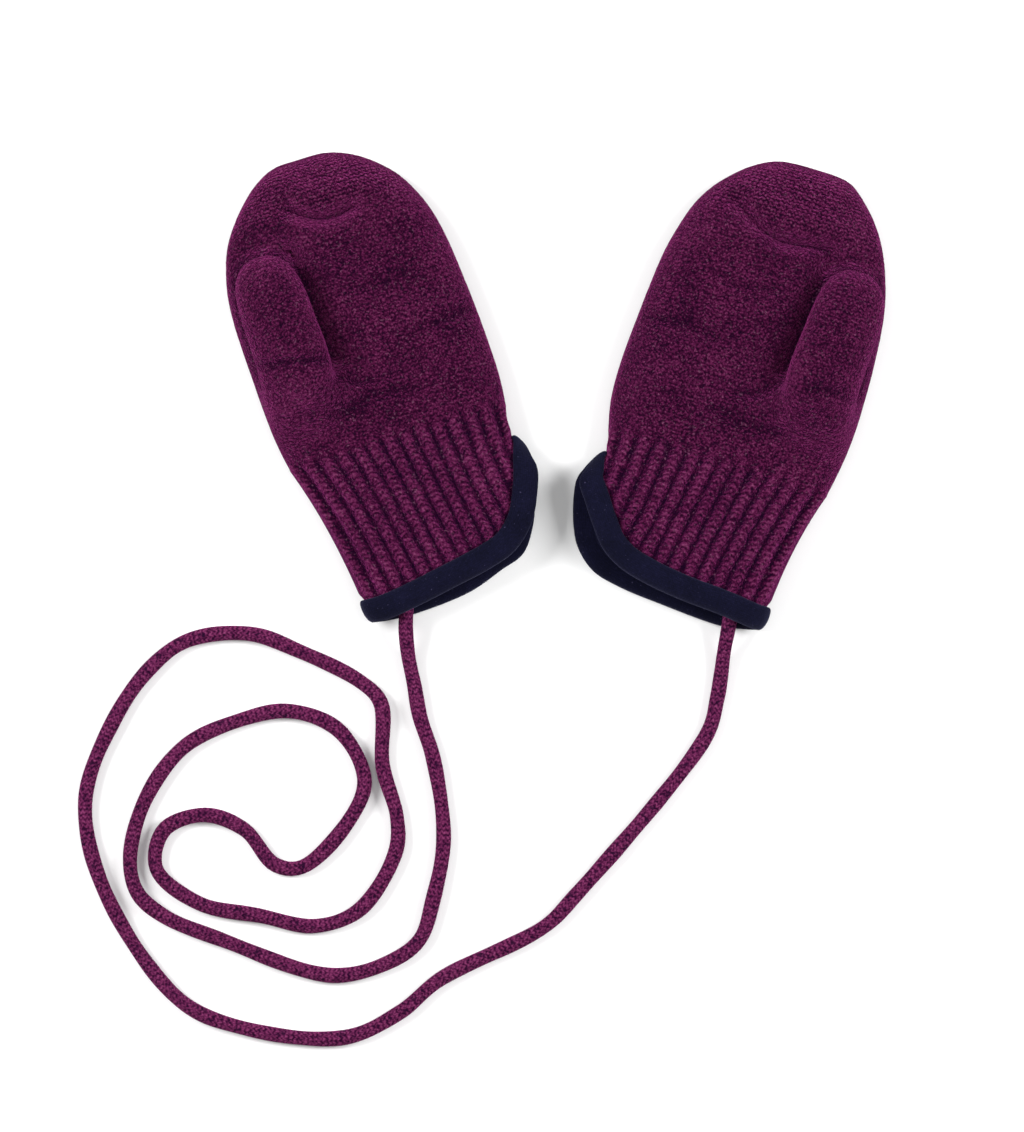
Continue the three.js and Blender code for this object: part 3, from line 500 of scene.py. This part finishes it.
rightMitten = {
    "name": "right", "mirror": -1, "at": (34.3, -59.67), "turn": -17, "ribTop": 41, "tip": (-5.5, 133.4),
    "thumbEdge": [(-36.6, 41), (-38.2, 50), (-39.1, 62), (-39.1, 74), (-38.5, 86), (-37.3, 97),
                  (-35.1, 106), (-32.4, 113), (-29.2, 119), (-25.4, 124), (-21.3, 128), (-16.4, 131.6)],
    "fingerEdge": [(32.0, 41), (34.0, 50), (34.3, 62), (33.6, 74), (32.7, 86), (31.5, 97),
                   (29.4, 106), (27.1, 113), (23.5, 119), (19.0, 124), (14.3, 128), (7.4, 131.6)],
    "palmHem": [(-28.3, -2.4), (-25, -2.3), (-17.2, -1.4), (-2.3, -0.3), (8.2, 1.2), (16.2, 3.4),
                (22.2, 7.0), (26.6, 12.2), (31.0, 18.4), (34.6, 24.2), (33.0, 28.4)],
    "backHem": [(-28.3, -2.4), (-25, -3.2), (-17.6, -4.4), (1.8, -3.4), (15.0, -2.1), (23.2, 0),
                (29.0, 4.8), (32.2, 10.6), (34.9, 20), (35.2, 25), (33.0, 28.4)],
    "creases": [([(-16, 111.5), (-8, 110.2), (0, 109.5), (8, 112.5), (15, 117)], 2.5, 2.5),
                ([(-13, 118), (-2, 116.5), (8, 119.5)], 4.5, -0.9),
                ([(-34, 107.5), (-29, 110.5), (-22, 110.5), (-16.5, 106.5)], 3.2, 2.4),
                ([(-17, 107), (-15.4, 98), (-15.0, 86), (-13.4, 72)], 3.4, 2.5),
                ([(-12, 72), (-5, 64), (3, 61)], 5, 0.9), ([(-12, 104), (-4, 100), (4, 99)], 6, 0.6),
                ([(8, 90), (18, 86), (29, 89)], 5, 0.5), ([(0, 54), (12, 58), (28, 53)], 6, 0.5)],
    "wrinkles": [([(-15, 111.3), (-8, 110.2), (-1, 109.5), (4, 110.5)], 1.2, 1.0),
                 ([(-37, 70), (-30, 71.5), (-22, 70.5)], 1.6, 0.5),
                 ([(-14, 68), (-8, 64), (-2, 62)], 1.6, 0.6), ([(-20, 56), (-8, 54), (4, 56)], 2.0, 0.45),
                 ([(8, 76), (18, 78), (28, 76)], 1.8, 0.4),
                 ([(-4, 95), (6, 93), (14, 95)], 1.8, 0.35)],
    "thumb": [(48, -27.5, 8.5, 4.6, 10.6), (54, -27.2, 9.8, 6.0, 14.6), (61, -26.4, 10.8, 8.0, 18.6),
              (68, -25.4, 11.1, 10.4, 21.4), (76, -25.2, 11.1, 12.6, 22.8), (86, -25.8, 10.9, 12.8, 23.0),
              (95, -26.3, 10.5, 12.8, 22.4), (101, -26.3, 9.1, 13.2, 21.4), (105, -26.2, 6.2, 14.0, 19.8),
              (106.4, -26.2, 3.3, 15.4, 18.4)],
}


# A point on the cuff, which is drawn in at its waist
def cuffPoint(low, high, rise):
    u = low[..., 0] + (high[..., 0] - low[..., 0]) * rise
    v = low[..., 1] + (high[..., 1] - low[..., 1]) * rise
    drawn = 1 - clothSizes["waist"] * rise * (1 - rise)
    return np.stack([clothSizes["waistCentre"] + (u - clothSizes["waistCentre"]) * drawn, v], axis=-1)


# The hem as a dense line: its points, and the way in that the cloth lies at each
def hemLine(rows, thumbSide, fingerSide):
    line = smoothLine(rows, clothSizes["hemSteps"])
    ways = [(side[3] - side[0]) / np.linalg.norm(side[3] - side[0]) for side in (thumbSide, fingerSide)]
    ahead = np.gradient(line, axis=0)
    into = np.stack([-ahead[:, 1], ahead[:, 0]], axis=1)
    into /= np.linalg.norm(into, axis=1)[:, None]
    for end, way in zip((line[0], line[-1]), ways):
        near = 1 - smoothStep(np.linalg.norm(line - end, axis=1), 0, bandSizes["foldTurn"])
        into = into * (1 - near[:, None]) + way * near[:, None]
    into /= np.linalg.norm(into, axis=1)[:, None]
    return line, into


def layOut(mitten):
    half = clothSizes["half"]
    thumbEdge = [(u + half, v) for u, v in mitten["thumbEdge"]]
    fingerEdge = [(u - half, v) for u, v in mitten["fingerEdge"]]
    tip = (mitten["tip"][0], mitten["tip"][1] - half)
    rises = np.linspace(0, 1, clothSizes["sideSteps"])
    thumbSide = cuffPoint(np.array(mitten["palmHem"][0], float), np.array(thumbEdge[0]), rises)
    fingerSide = cuffPoint(np.array(mitten["palmHem"][-1], float), np.array(fingerEdge[0]), rises)
    handLine = softened(smoothLine([*thumbEdge, tip, *fingerEdge[::-1]], 8), clothSizes["sideSoftness"])
    foldLine = np.concatenate([thumbSide[:-1], handLine, fingerSide[::-1][1:]])
    hems = {layer: hemLine(mitten[layer + "Hem"], thumbSide, fingerSide) for layer in ("palm", "back")}
    return {**mitten, "handLine": handLine, "foldLine": foldLine, "hems": hems,
            "topEnds": (thumbEdge[0], fingerEdge[0])}


# Slow unevenness of soft cloth
def lumps(u, v):
    slow = np.sin(u * 0.21 + 0.8 * np.sin(v * 0.11)) * np.sin(v * 0.17 + 1.3)
    return 0.16 * slow + 0.08 * np.sin(u * 0.47 + v * 0.31) * np.sin(v * 0.39 - u * 0.2)


# Height of the middle of the palm or back layer, with its creases
def layerHeight(mitten, layer, u, v, away=None):
    if away is None:
        away = nearestOn(mitten["foldLine"], u, v)[0]
    fold = np.interp(v, levels["v"], levels["fold"])
    if layer == "palm":
        palm = np.interp(v, levels["v"], levels["palm"]) + lumps(u, v)
        for line, width, depth in mitten["creases"]:
            gap = nearestOn(smoothLine(line, 6), u, v)[0]
            palm = palm - depth * np.exp(-(gap / width) ** 2)
        return fold + (palm - fold) * rounded(away, clothSizes["domeReach"])
    fromHem = nearestOn(mitten["hems"]["back"][0], u, v)[0]
    fromHem = np.where(v < mitten["ribTop"], fromHem, bandSizes["liftEnd"])
    pressed = 1 - smoothStep(fromHem, bandSizes["reach"], bandSizes["liftEnd"])
    lift = (bandSizes["half"] - clothSizes["half"]) * pressed
    rest = clothSizes["half"] + lift + 1.2 * np.maximum(lumps(v * 0.8, u * 0.9), 0)
    return fold + (rest - fold) * rounded(away, clothSizes["footReach"])


# Outward directions on a grid that closes to a ring
def ringNormals(points):
    padded = np.concatenate([points[:, -2:-1], points, points[:, 1:2]], axis=1)
    normals = np.cross(padded[:, 2:] - padded[:, :-2], np.gradient(points, axis=0))
    return normals / np.maximum(np.linalg.norm(normals, axis=-1), 1e-9)[..., None]


# Extra cloth length near the fold, so that stitches keep their size round the side
def foldExtra():
    gap = np.linspace(0, clothSizes["domeReach"], 300)
    rise = clothSizes["sideRise"] * rounded(gap, clothSizes["domeReach"])
    longer = np.hypot(np.diff(gap), np.diff(rise)) - np.diff(gap)
    return gap, np.concatenate([np.cumsum(longer[::-1])[::-1], [0]])


extraGap, extraLength = foldExtra()


def knitPlace(mitten, u, v):
    away, footU, footV = nearestOn(mitten["foldLine"], u, v)
    extra = np.interp(away, extraGap, extraLength) / np.maximum(away, 0.05)
    return u + (footU - u) * extra, v + (footV - v) * extra


# Shares of the cloth's way across the top of the ribs, for places across the mitten
def topShares(mitten, layer):
    (low, _), (high, _) = mitten["topEnds"]
    lean = (1 - np.cos(np.linspace(0, math.pi, 400))) / 2
    u = low + (high - low) * lean
    v = np.full(u.shape, float(mitten["ribTop"]))
    line = np.stack([u, layerHeight(mitten, layer, u, v)], axis=1)
    measure = travel(line)
    return u, measure / measure[-1]


# How much of the rib pattern is left at a height up the mitten
def ribShare(mitten, v):
    low, high = clothSizes["ribFade"]
    return 1 - smoothStep(v, mitten["ribTop"] + low, mitten["ribTop"] + high)


def ribHeight(phase):
    wave = np.abs(np.sin(math.pi * phase))
    crest = 0.3 * wave + 0.7 * wave ** 2
    fromFold = smoothStep(np.minimum(phase, clothSizes["ribs"] - phase), 0, 0.5)
    return fromFold * (crest * (clothSizes["ribRise"] + clothSizes["ribDip"]) - clothSizes["ribDip"])


def placingOf(mitten):
    spot = Matrix.Translation((mitten["at"][0] / 1000, mitten["at"][1] / 1000, 0))
    turn = Matrix.Rotation(math.radians(mitten["turn"]), 4, "Z")
    return spot @ turn @ Matrix.Diagonal((mitten["mirror"] / 1000, 0.001, 0.001, 1))


# The pairs are where something begins and is full: heights in z, and rows in v
# The foot sizes place the painted shadow at the thumb's foot and set how dark it is
handSizes = {"columns": 110, "rows": 130, "voxel": 0.74, "below": 4, "corner": 110, "thumbAround": 56,
             "thumbSteps": 9, "thumbTilt": 0.13, "thumbHalf": 1.0, "blendRounds": 14, "seamReach": 9,
             "thumbFold": 0.42, "thumbClear": 0.3, "overlap": 0.2, "lieRows": (68, 74),
             "footReach": 1.5, "footShadeShare": 0.9, "footFold": 0.4, "footRows": (60, 76),
             "footHeights": (6.5, 8), "rootRows": (46, 58, 70), "rootHeight": 8, "rootSide": 6, "rootMiddle": 4,
             "wrinkleHeights": (5.5, 7), "wrapHeights": (14.2, 17.5), "wrapTop": 20.5, "wrapShare": 0.9,
             "linedRows": (112, 119)}


# The palm swells smoothly into the thumb below the point where the thumb comes free
def thumbSwell(mitten, u, v, palm):
    rows = np.array(mitten["thumb"], float)
    centre, half, _, top = (np.interp(v, rows[:, 0], rows[:, k]) for k in range(1, 5))
    rise = np.maximum(top - clothSizes["half"] - palm, 0)
    aside = u - centre
    fingerFall = 1 - smoothStep(aside, half * 0.3, half + 9)
    outerFall = 1 - smoothStep(-aside, half * 0.5, half + 3)
    fade = smoothStep(v, 44, 56) * (1 - smoothStep(v, 62, 73))
    return palm + rise * np.where(aside > 0, fingerFall, outerFall) * fade


# One layer of the hand in plan, a grid whose last row runs along the rounded tip
def handPlan(mitten, sizes):
    steps = clothSizes["sideSteps"]
    line = mitten["handLine"]
    measure = travel(line)
    tipIndex = int(np.argmax(line[:, 1]))
    thumbCorner = measure[np.argmin(np.abs(line[:tipIndex, 1] - sizes["corner"]))]
    fingerCorner = measure[tipIndex + np.argmin(np.abs(line[tipIndex:, 1] - sizes["corner"]))]
    lean = (1 - np.cos(np.linspace(0, math.pi, sizes["columns"] + 1))) / 2
    climb = np.sin(np.linspace(0, math.pi / 2, sizes["rows"] + 1))
    low = float(mitten["ribTop"] - sizes["below"])
    sides = (mitten["foldLine"][:steps], mitten["foldLine"][::-1][:steps])
    cut = [np.array([np.interp(low, side[:, 1], side[:, 0]), low]) for side in sides]

    def walk(start, end, shares):
        want = start + (end - start) * shares
        return np.stack([np.interp(want, measure, line[:, k]) for k in range(2)], axis=1)

    tip = walk(thumbCorner, fingerCorner, lean)
    share = climb[:, None]
    left = walk(0, thumbCorner, climb)
    right = walk(measure[-1], fingerCorner, climb)
    left = left + (cut[0] - left[0]) * (1 - share) ** 12
    right = right + (cut[1] - right[0]) * (1 - share) ** 12
    bottom = cut[0] + (cut[1] - cut[0]) * lean[:, None]
    s = lean[None, :, None]
    t = climb[:, None, None]
    edges = (1 - t) * bottom[None] + t * tip[None] + (1 - s) * left[:, None] + s * right[:, None]
    corners = (1 - t) * ((1 - s) * bottom[0] + s * bottom[-1]) + t * ((1 - s) * tip[0] + s * tip[-1])
    return edges - corners


def thumbPoints(mitten, sizes):
    rows = smoothLine(mitten["thumb"], sizes["thumbSteps"])
    angles = np.linspace(0, 2 * math.pi, sizes["thumbAround"] + 1)
    x = -np.cos(angles)
    v, centre, half, floor, top = (column[:, None] for column in rows.T)
    fold = floor + (top - floor) * sizes["thumbFold"]
    wall = sizes["thumbHalf"]
    u = centre + x * (half - wall)
    upper = fold + (top - wall - fold) * rounded(1 - np.abs(x), 1, 2.3)
    lower = fold + (floor + wall - fold) * rounded(1 - np.abs(x), 1, 3)
    z = np.where(angles <= math.pi, upper, lower) + sizes["thumbTilt"] * (u - centre)
    v = np.broadcast_to(v, u.shape)
    rest = layerHeight(mitten, "palm", u, v) + clothSizes["half"] + sizes["thumbClear"] + wall
    lying = smoothStep(v, *sizes["lieRows"]) * (angles > math.pi) * (np.abs(x) < 0.995)
    z = z + (np.maximum(z, rest) - z) * lying
    return np.stack([u, v, z], axis=-1)


# The hand's and thumb's middle surface as one closed skin
def handSkin(mitten, sizes):
    plan = handPlan(mitten, sizes)
    bm = bmesh.new()
    away = nearestOn(mitten["foldLine"], plan[..., 0], plan[..., 1])[0]
    edge = np.zeros(away.shape, bool)
    edge[-1] = edge[:, 0] = edge[:, -1] = True
    away = np.where(edge, 0, away)
    for layer in ("palm", "back"):
        height = layerHeight(mitten, layer, plan[..., 0], plan[..., 1], away)
        if layer == "palm":
            swollen = thumbSwell(mitten, plan[..., 0], plan[..., 1], height)
            height = np.where(away > 0, swollen, height)
        points = np.concatenate([plan, height[..., None]], axis=-1)
        verts = clothGrid(bm, points)
        if layer == "back":
            bmesh.ops.reverse_faces(bm, faces=list({face for vert in verts for face in vert.link_faces}))
    bmesh.ops.remove_doubles(bm, verts=bm.verts, dist=1e-3)
    clothGrid(bm, thumbPoints(mitten, sizes))
    bmesh.ops.remove_doubles(bm, verts=bm.verts, dist=1e-3)
    bmesh.ops.holes_fill(bm, edges=bm.edges, sides=0)
    bmesh.ops.recalc_face_normals(bm, faces=bm.faces)
    return bm


def remeshed(bm, voxel):
    mesh = bpy.data.meshes.new("skin")
    bm.to_mesh(mesh)
    bm.free()
    draft = bpy.data.objects.new("skin", mesh)
    scene.collection.objects.link(draft)
    modifier = draft.modifiers.new("remesh", "REMESH")
    modifier.mode = "VOXEL"
    modifier.voxel_size = voxel
    graph = bpy.context.evaluated_depsgraph_get()
    made = bpy.data.meshes.new_from_object(draft.evaluated_get(graph))
    fine = bmesh.new()
    fine.from_mesh(made)
    bpy.data.objects.remove(draft)
    bpy.data.meshes.remove(mesh)
    bpy.data.meshes.remove(made)
    return fine


def positions(bm):
    return np.array([vert.co for vert in bm.verts])


# Moves the hand's lowest rows onto the cuff's top row, so that the two meet without a step
def meetCuff(bm, loop, low, reach):
    rim = np.array([vert.co for vert in bm.verts if vert.is_boundary])
    ring = np.concatenate([loop, loop[:1]])[:, [0, 2]]
    _, footU, footZ = nearestOn(ring, rim[:, 0], rim[:, 2])
    shift = np.stack([footU - rim[:, 0], np.zeros(len(rim)), footZ - rim[:, 2]], axis=1)
    for vert in bm.verts:
        if vert.co.y < low + reach:
            nearest = np.argmin((rim[:, 0] - vert.co.x) ** 2 + (rim[:, 2] - vert.co.z) ** 2)
            fade = 1 - smoothStep(vert.co.y, low, low + reach)
            vert.co += Vector(shift[nearest] * float(fade))


# Painted shadow at the foot of the thumb, where the palm meets it: darker colour by how near each point lies to
# the thumb's outline
def thumbFootShade(mitten, at, sizes):
    v, centre, half, floor, top = smoothLine(mitten["thumb"], sizes["thumbSteps"]).T
    sides = [np.stack([centre - half, v], axis=1), np.stack([centre + half, v], axis=1)[::-1]]
    outline = np.concatenate(sides)
    gap = nearestOn(outline, at[:, 0], at[:, 1])[0]
    fold = np.interp(at[:, 1], v, floor + (top - floor) * sizes["footFold"])
    reach = sizes["footReach"]
    between = smoothStep(at[:, 2], *sizes["footHeights"]) * (1 - smoothStep(at[:, 2] - fold, -reach, 0))
    return sizes["footShadeShare"] * np.exp(-(gap / reach) ** 2) * between * smoothStep(at[:, 1], *sizes["footRows"])


def makeHand(mitten, sizes, cuffTop):
    bm = remeshed(handSkin(mitten, sizes), sizes["voxel"])
    smoothing = {"factor": 0.5, "use_axis_x": True, "use_axis_y": True, "use_axis_z": True}
    for _ in range(3):
        bmesh.ops.smooth_vert(bm, verts=bm.verts, **smoothing)
    at = positions(bm)
    rows = smoothLine(mitten["thumb"], sizes["thumbSteps"])
    centre = np.interp(at[:, 1], rows[:, 0], rows[:, 1])
    half = np.interp(at[:, 1], rows[:, 0], rows[:, 2])
    first, joined, free = sizes["rootRows"]
    away = np.abs(at[:, 0] - centre) - half
    raised = (at[:, 1] > first) & (at[:, 2] > sizes["rootHeight"])
    root = raised & (at[:, 1] < free) & (np.abs(away) < sizes["rootSide"])
    root |= raised & (at[:, 1] < joined) & (away < sizes["rootMiddle"])
    rootVerts = [vert for vert, chosen in zip(bm.verts, root) if chosen]
    for _ in range(sizes["blendRounds"]):
        bmesh.ops.smooth_vert(bm, verts=rootVerts, **smoothing)
    bm.normal_update()
    at = positions(bm)
    # Painted shadow at the thumb's foot, put into the colour
    paintedShade = thumbFootShade(mitten, at, sizes)
    # Each wrinkle is pressed into the shape, and its depth also darkens the colour along it as painted shade
    for line, width, depth in mitten["wrinkles"]:
        gap = nearestOn(smoothLine(line, 6), at[:, 0], at[:, 1])[0]
        press = depth * np.exp(-(gap / width) ** 2) * smoothStep(at[:, 2], *sizes["wrinkleHeights"])
        at[:, 2] -= press
        paintedShade = np.maximum(paintedShade, press)
    normals = np.array([vert.normal for vert in bm.verts])
    shares = {layer: topShares(mitten, layer) for layer in ("palm", "back")}
    upper = at[:, 2] > np.interp(at[:, 1], levels["v"], levels["fold"])
    share = np.where(upper, np.interp(at[:, 0], *shares["palm"]), np.interp(at[:, 0], *shares["back"]))
    phase = share * clothSizes["ribs"]
    ribbed = ribShare(mitten, at[:, 1])
    swell = clothSizes["half"] + ribbed * ribHeight(phase) * np.where(upper, 1, clothSizes["backRibs"])
    at = at + normals * swell[:, None]
    at[:, 2] = np.maximum(at[:, 2], clothSizes["lowest"])
    placeU, placeV = knitPlace(mitten, at[:, 0], at[:, 1])
    centre = np.interp(at[:, 1], rows[:, 0], rows[:, 1])
    above = smoothStep(at[:, 2], *sizes["wrapHeights"])
    side = at[:, 0] - centre
    wrap = np.maximum(sizes["wrapTop"] - at[:, 2], 0) * sizes["wrapShare"]
    wrapU = centre + side + np.sign(side) * wrap
    placeU = placeU + (wrapU - placeU) * above
    placeV = placeV + (at[:, 1] - placeV) * above
    lined = smoothStep(at[:, 1], *sizes["linedRows"])
    knit = bm.verts.layers.float_vector.new("knit")
    finish = bm.verts.layers.float_vector.new("finish")
    for k, vert in enumerate(bm.verts):
        vert.co = at[k]
        vert[knit] = (placeU[k], placeV[k], phase[k])
        vert[finish] = (ribbed[k], paintedShade[k], lined[k])
    everything = [*bm.verts, *bm.edges, *bm.faces]
    low = mitten["ribTop"] - sizes["overlap"]
    cut = {"plane_co": (0, low, 0), "plane_no": (0, 1, 0), "clear_inner": True}
    bmesh.ops.bisect_plane(bm, geom=everything, **cut)
    meetCuff(bm, cuffTop, low, sizes["seamReach"])
    name = mitten["name"]
    piece = finishPiece(name + "Hand", bm, plumKnit, [name + "_hand", name + "_thumb"],
                        placingOf(mitten), mitten["mirror"] < 0)
    addWall(piece, clothSizes["wall"])


def hemPoints(mitten, layer, shares):
    line, into = mitten["hems"][layer]
    steps = np.abs(np.diff(line[:, 0])) + 0.15 * np.linalg.norm(np.diff(line, axis=0), axis=1)
    measure = np.concatenate([[0], np.cumsum(steps)])
    return resample(line, measure, shares), resample(into, measure, shares)


# One layer of a tube from inside the hem up to the top of the ribs: its plan, height and way from the hem
def tubeLayer(mitten, layer, shares, rises, start, widest=False):
    low, into = hemPoints(mitten, layer, shares)
    low = low + into * start
    if not widest:
        low[:, 0] = np.minimum(low[:, 0], low[-1, 0])
    tableU, tableShare = topShares(mitten, layer)
    top = np.full(shares.shape, float(mitten["ribTop"]))
    high = np.stack([np.interp(shares, tableShare, tableU), top], axis=1)
    plan = cuffPoint(low[None], high[None], rises[:, None])
    away = nearestOn(mitten["foldLine"], plan[..., 0], plan[..., 1])[0]
    away[:, 0] = away[:, -1] = 0
    height = layerHeight(mitten, layer, plan[..., 0], plan[..., 1], away)
    fromHem = nearestOn(mitten["hems"][layer][0], plan[..., 0], plan[..., 1])[0]
    return np.concatenate([plan, height[..., None], fromHem[..., None]], axis=-1)


# The palm layer and then the back layer the other way, round to where the palm began
def joinLayers(palm, back):
    return np.concatenate([palm, back[:, ::-1][:, 1:]], axis=1)


cuffSizes = {"perRib": 12, "rows": 96, "start": 0.3, "tuck": [(0.5, 0.1), (1.2, 0.45), (1.9, 0.7)]}


def makeCuff(mitten, sizes):
    ribs = clothSizes["ribs"]
    shares = np.linspace(0, 1, ribs * sizes["perRib"] + 1)
    rises = np.linspace(0, 1, sizes["rows"] + 1)
    layers = []
    for layer in ("palm", "back"):
        rows = tubeLayer(mitten, layer, shares, rises, sizes["start"])
        places = knitPlace(mitten, rows[..., 0], rows[..., 1])
        phase = np.broadcast_to(shares * ribs, rows.shape[:2])
        layers.append(np.concatenate([rows, np.stack([*places, phase], axis=-1)], axis=-1))
    both = joinLayers(*layers)
    points, fromHem, knit = both[..., :3], both[..., 3], both[..., 4:]
    normals = ringNormals(points)
    free = smoothStep(fromHem, bandSizes["reach"] - 0.3, bandSizes["reach"] + 2.6)
    half = clothSizes["hemHalf"] + (clothSizes["half"] - clothSizes["hemHalf"]) * free
    under = np.where(np.arange(points.shape[1]) < len(shares), 1, clothSizes["backRibs"])
    ribbed = ribShare(mitten, both[..., 1])
    points = points + normals * (half + free * ribbed * ribHeight(knit[..., 2]) * under)[..., None]
    points[..., 2] = np.maximum(points[..., 2], clothSizes["lowest"])
    cuffTop = points[-1]
    tuck = [cuffTop - normals[-1] * inset + (0, rise, 0) for rise, inset in sizes["tuck"]]
    zero = np.zeros(ribbed.shape)
    marks = {"knit": knit, "finish": np.stack([ribbed, zero, zero], axis=-1),
             "hem": np.stack([fromHem, zero, zero], axis=-1)}
    marks = {key: np.concatenate([rows, *[rows[-1:]] * len(tuck)]) for key, rows in marks.items()}
    bm = bmesh.new()
    clothGrid(bm, np.concatenate([points, tuck]), marks)
    bmesh.ops.remove_doubles(bm, verts=bm.verts, dist=1e-3)
    name = mitten["name"]
    piece = finishPiece(name + "Cuff", bm, plumKnit, [name + "_cuff"], placingOf(mitten),
                        mitten["mirror"] < 0)
    group = piece.vertex_groups.new(name="wall")  # thins the wall inside the binding
    thin = clothSizes["hemWall"] / clothSizes["cuffWall"]
    for k, mark in enumerate(piece.data.attributes["hem"].data):
        full = smoothStep(mark.vector[0], bandSizes["reach"] - 1, bandSizes["reach"] + 1)
        group.add([k], float(thin + (1 - thin) * full), "REPLACE")
    addWall(piece, clothSizes["cuffWall"]).vertex_group = "wall"
    return cuffTop


stripSizes = {"stations": 230, "fan": 9, "facing": 3.0}
# The strip's section: how far in from the hem, and how far from the middle of the cloth
stripSection = [
    (6.0, 0.72), (6.25, 1.05), (6.15, 1.5), (5.75, 1.85), (5.1, 2.05), (4.2, 2.16), (3.1, 2.18),
    (2.0, 2.1), (1.0, 1.92), (0.1, 1.62), (-0.6, 1.2), (-1.1, 0.65), (-1.3, 0.0), (-1.1, -0.65),
    (-0.6, -1.2), (0.1, -1.62), (1.0, -1.92), (2.0, -2.1), (3.1, -2.18), (4.2, -2.16),
    (5.1, -2.05), (5.75, -1.85), (6.15, -1.5), (6.25, -1.05), (6.0, -0.72), (3.0, -0.72),
    (0.0, -0.72), (-0.45, 0.0), (0.0, 0.72), (3.0, 0.72), (6.0, 0.72),
]


# The binding strip: its section runs round the hem, on the palm layer and back along the back layer
def makeBinding(mitten, sizes):
    section = np.array(stripSection)
    reach = section[:, 0]
    shares = np.linspace(0, 1, sizes["stations"] // 2 + 1)
    layers = []
    for layer in ("palm", "back"):
        line, into = mitten["hems"][layer]
        height = layerHeight(mitten, layer, line[:, 0], line[:, 1])
        for end in (0, -1):
            height[end] = np.interp(line[end, 1], levels["v"], levels["fold"])
        space = np.column_stack([line, height])
        turns = np.linalg.norm(np.diff(into, axis=0), axis=1)
        steps = np.linalg.norm(np.diff(space, axis=0), axis=1) + sizes["fan"] * turns
        measure = np.concatenate([[0], np.cumsum(steps)])
        spot = resample(space, measure, shares)
        way = resample(into, measure, shares)
        travelled = resample(travel(space)[:, None], measure, shares)[:, 0]
        plan = spot[None, :, :2] + reach[:, None, None] * way[None]
        away = nearestOn(mitten["foldLine"], plan[..., 0], plan[..., 1])[0]
        away[:, 0] = away[:, -1] = 0
        z = layerHeight(mitten, layer, plan[..., 0], plan[..., 1], away)
        z = np.where(reach[:, None] > 0, z, spot[None, :, 2])
        marks = np.broadcast_to(travelled, z.shape)
        layers.append(np.concatenate([plan, z[..., None], marks[..., None]], axis=-1))
    both = joinLayers(*layers)
    middle = both[..., :3]
    inner = middle[np.argmin(np.abs(reach - sizes["facing"]))]
    normals = ringNormals(np.stack([inner, middle[0]]))[0]
    points = middle + normals * section[:, 1][:, None, None]
    points[..., 2] = np.maximum(points[..., 2], clothSizes["lowest"])
    girth = np.broadcast_to(travel(section)[:, None], both.shape[:2])
    knit = np.stack([girth, both[..., 3], np.zeros(girth.shape)], axis=-1)
    bm = bmesh.new()
    clothGrid(bm, points, {"knit": knit})
    bmesh.ops.remove_doubles(bm, verts=bm.verts, dist=1e-3)
    bmesh.ops.recalc_face_normals(bm, faces=bm.faces)
    name = mitten["name"]
    piece = finishPiece(name + "Binding", bm, navyJersey, [name + "_binding"],
                        placingOf(mitten), mitten["mirror"] < 0)
    name + "_cuff"


# "inside" is from the middle of the cuff's cloth to the lining's outside, and "hemInside" is added at the hem
liningSizes = {"columns": 96, "rows": 36, "inside": 1.15, "hemInside": 1.0, "wall": 0.9, "start": 4.8}


def makeLining(mitten, sizes):
    shares = np.linspace(0, 1, sizes["columns"] + 1)
    rises = np.linspace(0, 1, sizes["rows"] + 1)
    both = joinLayers(*(tubeLayer(mitten, layer, shares, rises, sizes["start"], widest=True)
                        for layer in ("palm", "back")))
    nearHem = 1 - smoothStep(both[..., 3], bandSizes["reach"], bandSizes["reach"] + 2)
    inside = sizes["inside"] + sizes["hemInside"] * nearHem
    points = both[..., :3] - ringNormals(both[..., :3]) * inside[..., None]
    knit = np.stack([both[..., 0], both[..., 1], np.zeros(inside.shape)], axis=-1)
    bm = bmesh.new()
    clothGrid(bm, points, {"knit": knit})
    bmesh.ops.remove_doubles(bm, verts=bm.verts, dist=1e-3)
    name = mitten["name"]
    piece = finishPiece(name + "Lining", bm, navyJersey, [name + "_lining"],
                        placingOf(mitten), mitten["mirror"] < 0)
    addWall(piece, sizes["wall"])
    name + "_cuff"


for sizes in (leftMitten, rightMitten):
    mitten = layOut(sizes)
    cuffTop = makeCuff(mitten, cuffSizes)
    makeHand(mitten, handSizes, cuffTop)
    makeBinding(mitten, stripSizes)
    makeLining(mitten, liningSizes)
    print(mitten["name"], "mitten made")


# Floor and light

studio = {"floor": 6.0, "floorColour": (0.88, 0.88, 0.88), "world": 0.42}


def makeStudio(sizes):
    bm = bmesh.new()
    bmesh.ops.create_grid(bm, x_segments=1, y_segments=1, size=sizes["floor"] / 2)
    mesh = bpy.data.meshes.new("floor")
    bm.to_mesh(mesh)
    bm.free()
    floor = bpy.data.objects.new("floor", mesh)
    scene.collection.objects.link(floor)
    shader = Shader("paper")
    shader.feed(Base_Color=(*sizes["floorColour"], 1), Roughness=0.9, Specular_IOR_Level=0.1)
    mesh.materials.append(shader.material)
    world = bpy.data.worlds.new("studio")
    world.use_nodes = True
    background = world.node_tree.nodes["Background"]
    background.inputs["Color"].default_value = (1, 1, 1, 1)
    background.inputs["Strength"].default_value = sizes["world"]
    scene.world = world


def addLight(name, spot, target, size, power):
    data = bpy.data.lights.new(name, "AREA")
    data.size = size
    data.energy = power
    light = bpy.data.objects.new(name, data)
    light.location = spot
    light.rotation_euler = (Vector(target) - Vector(spot)).to_track_quat("-Z", "Y").to_euler()
    scene.collection.objects.link(light)


makeStudio(studio)
addLight("leftLight", (-1.2, 0.35, 1.05), (0, 0, 0), 0.7, 30)
addLight("rightLight", (1.2, 0.25, 1.05), (0, 0, 0), 0.7, 27)
addLight("overhead", (0, 0, 2.2), (0, 0, 0), 1.0, 6)
scene.view_settings.view_transform = "Standard"
print("studio lit")
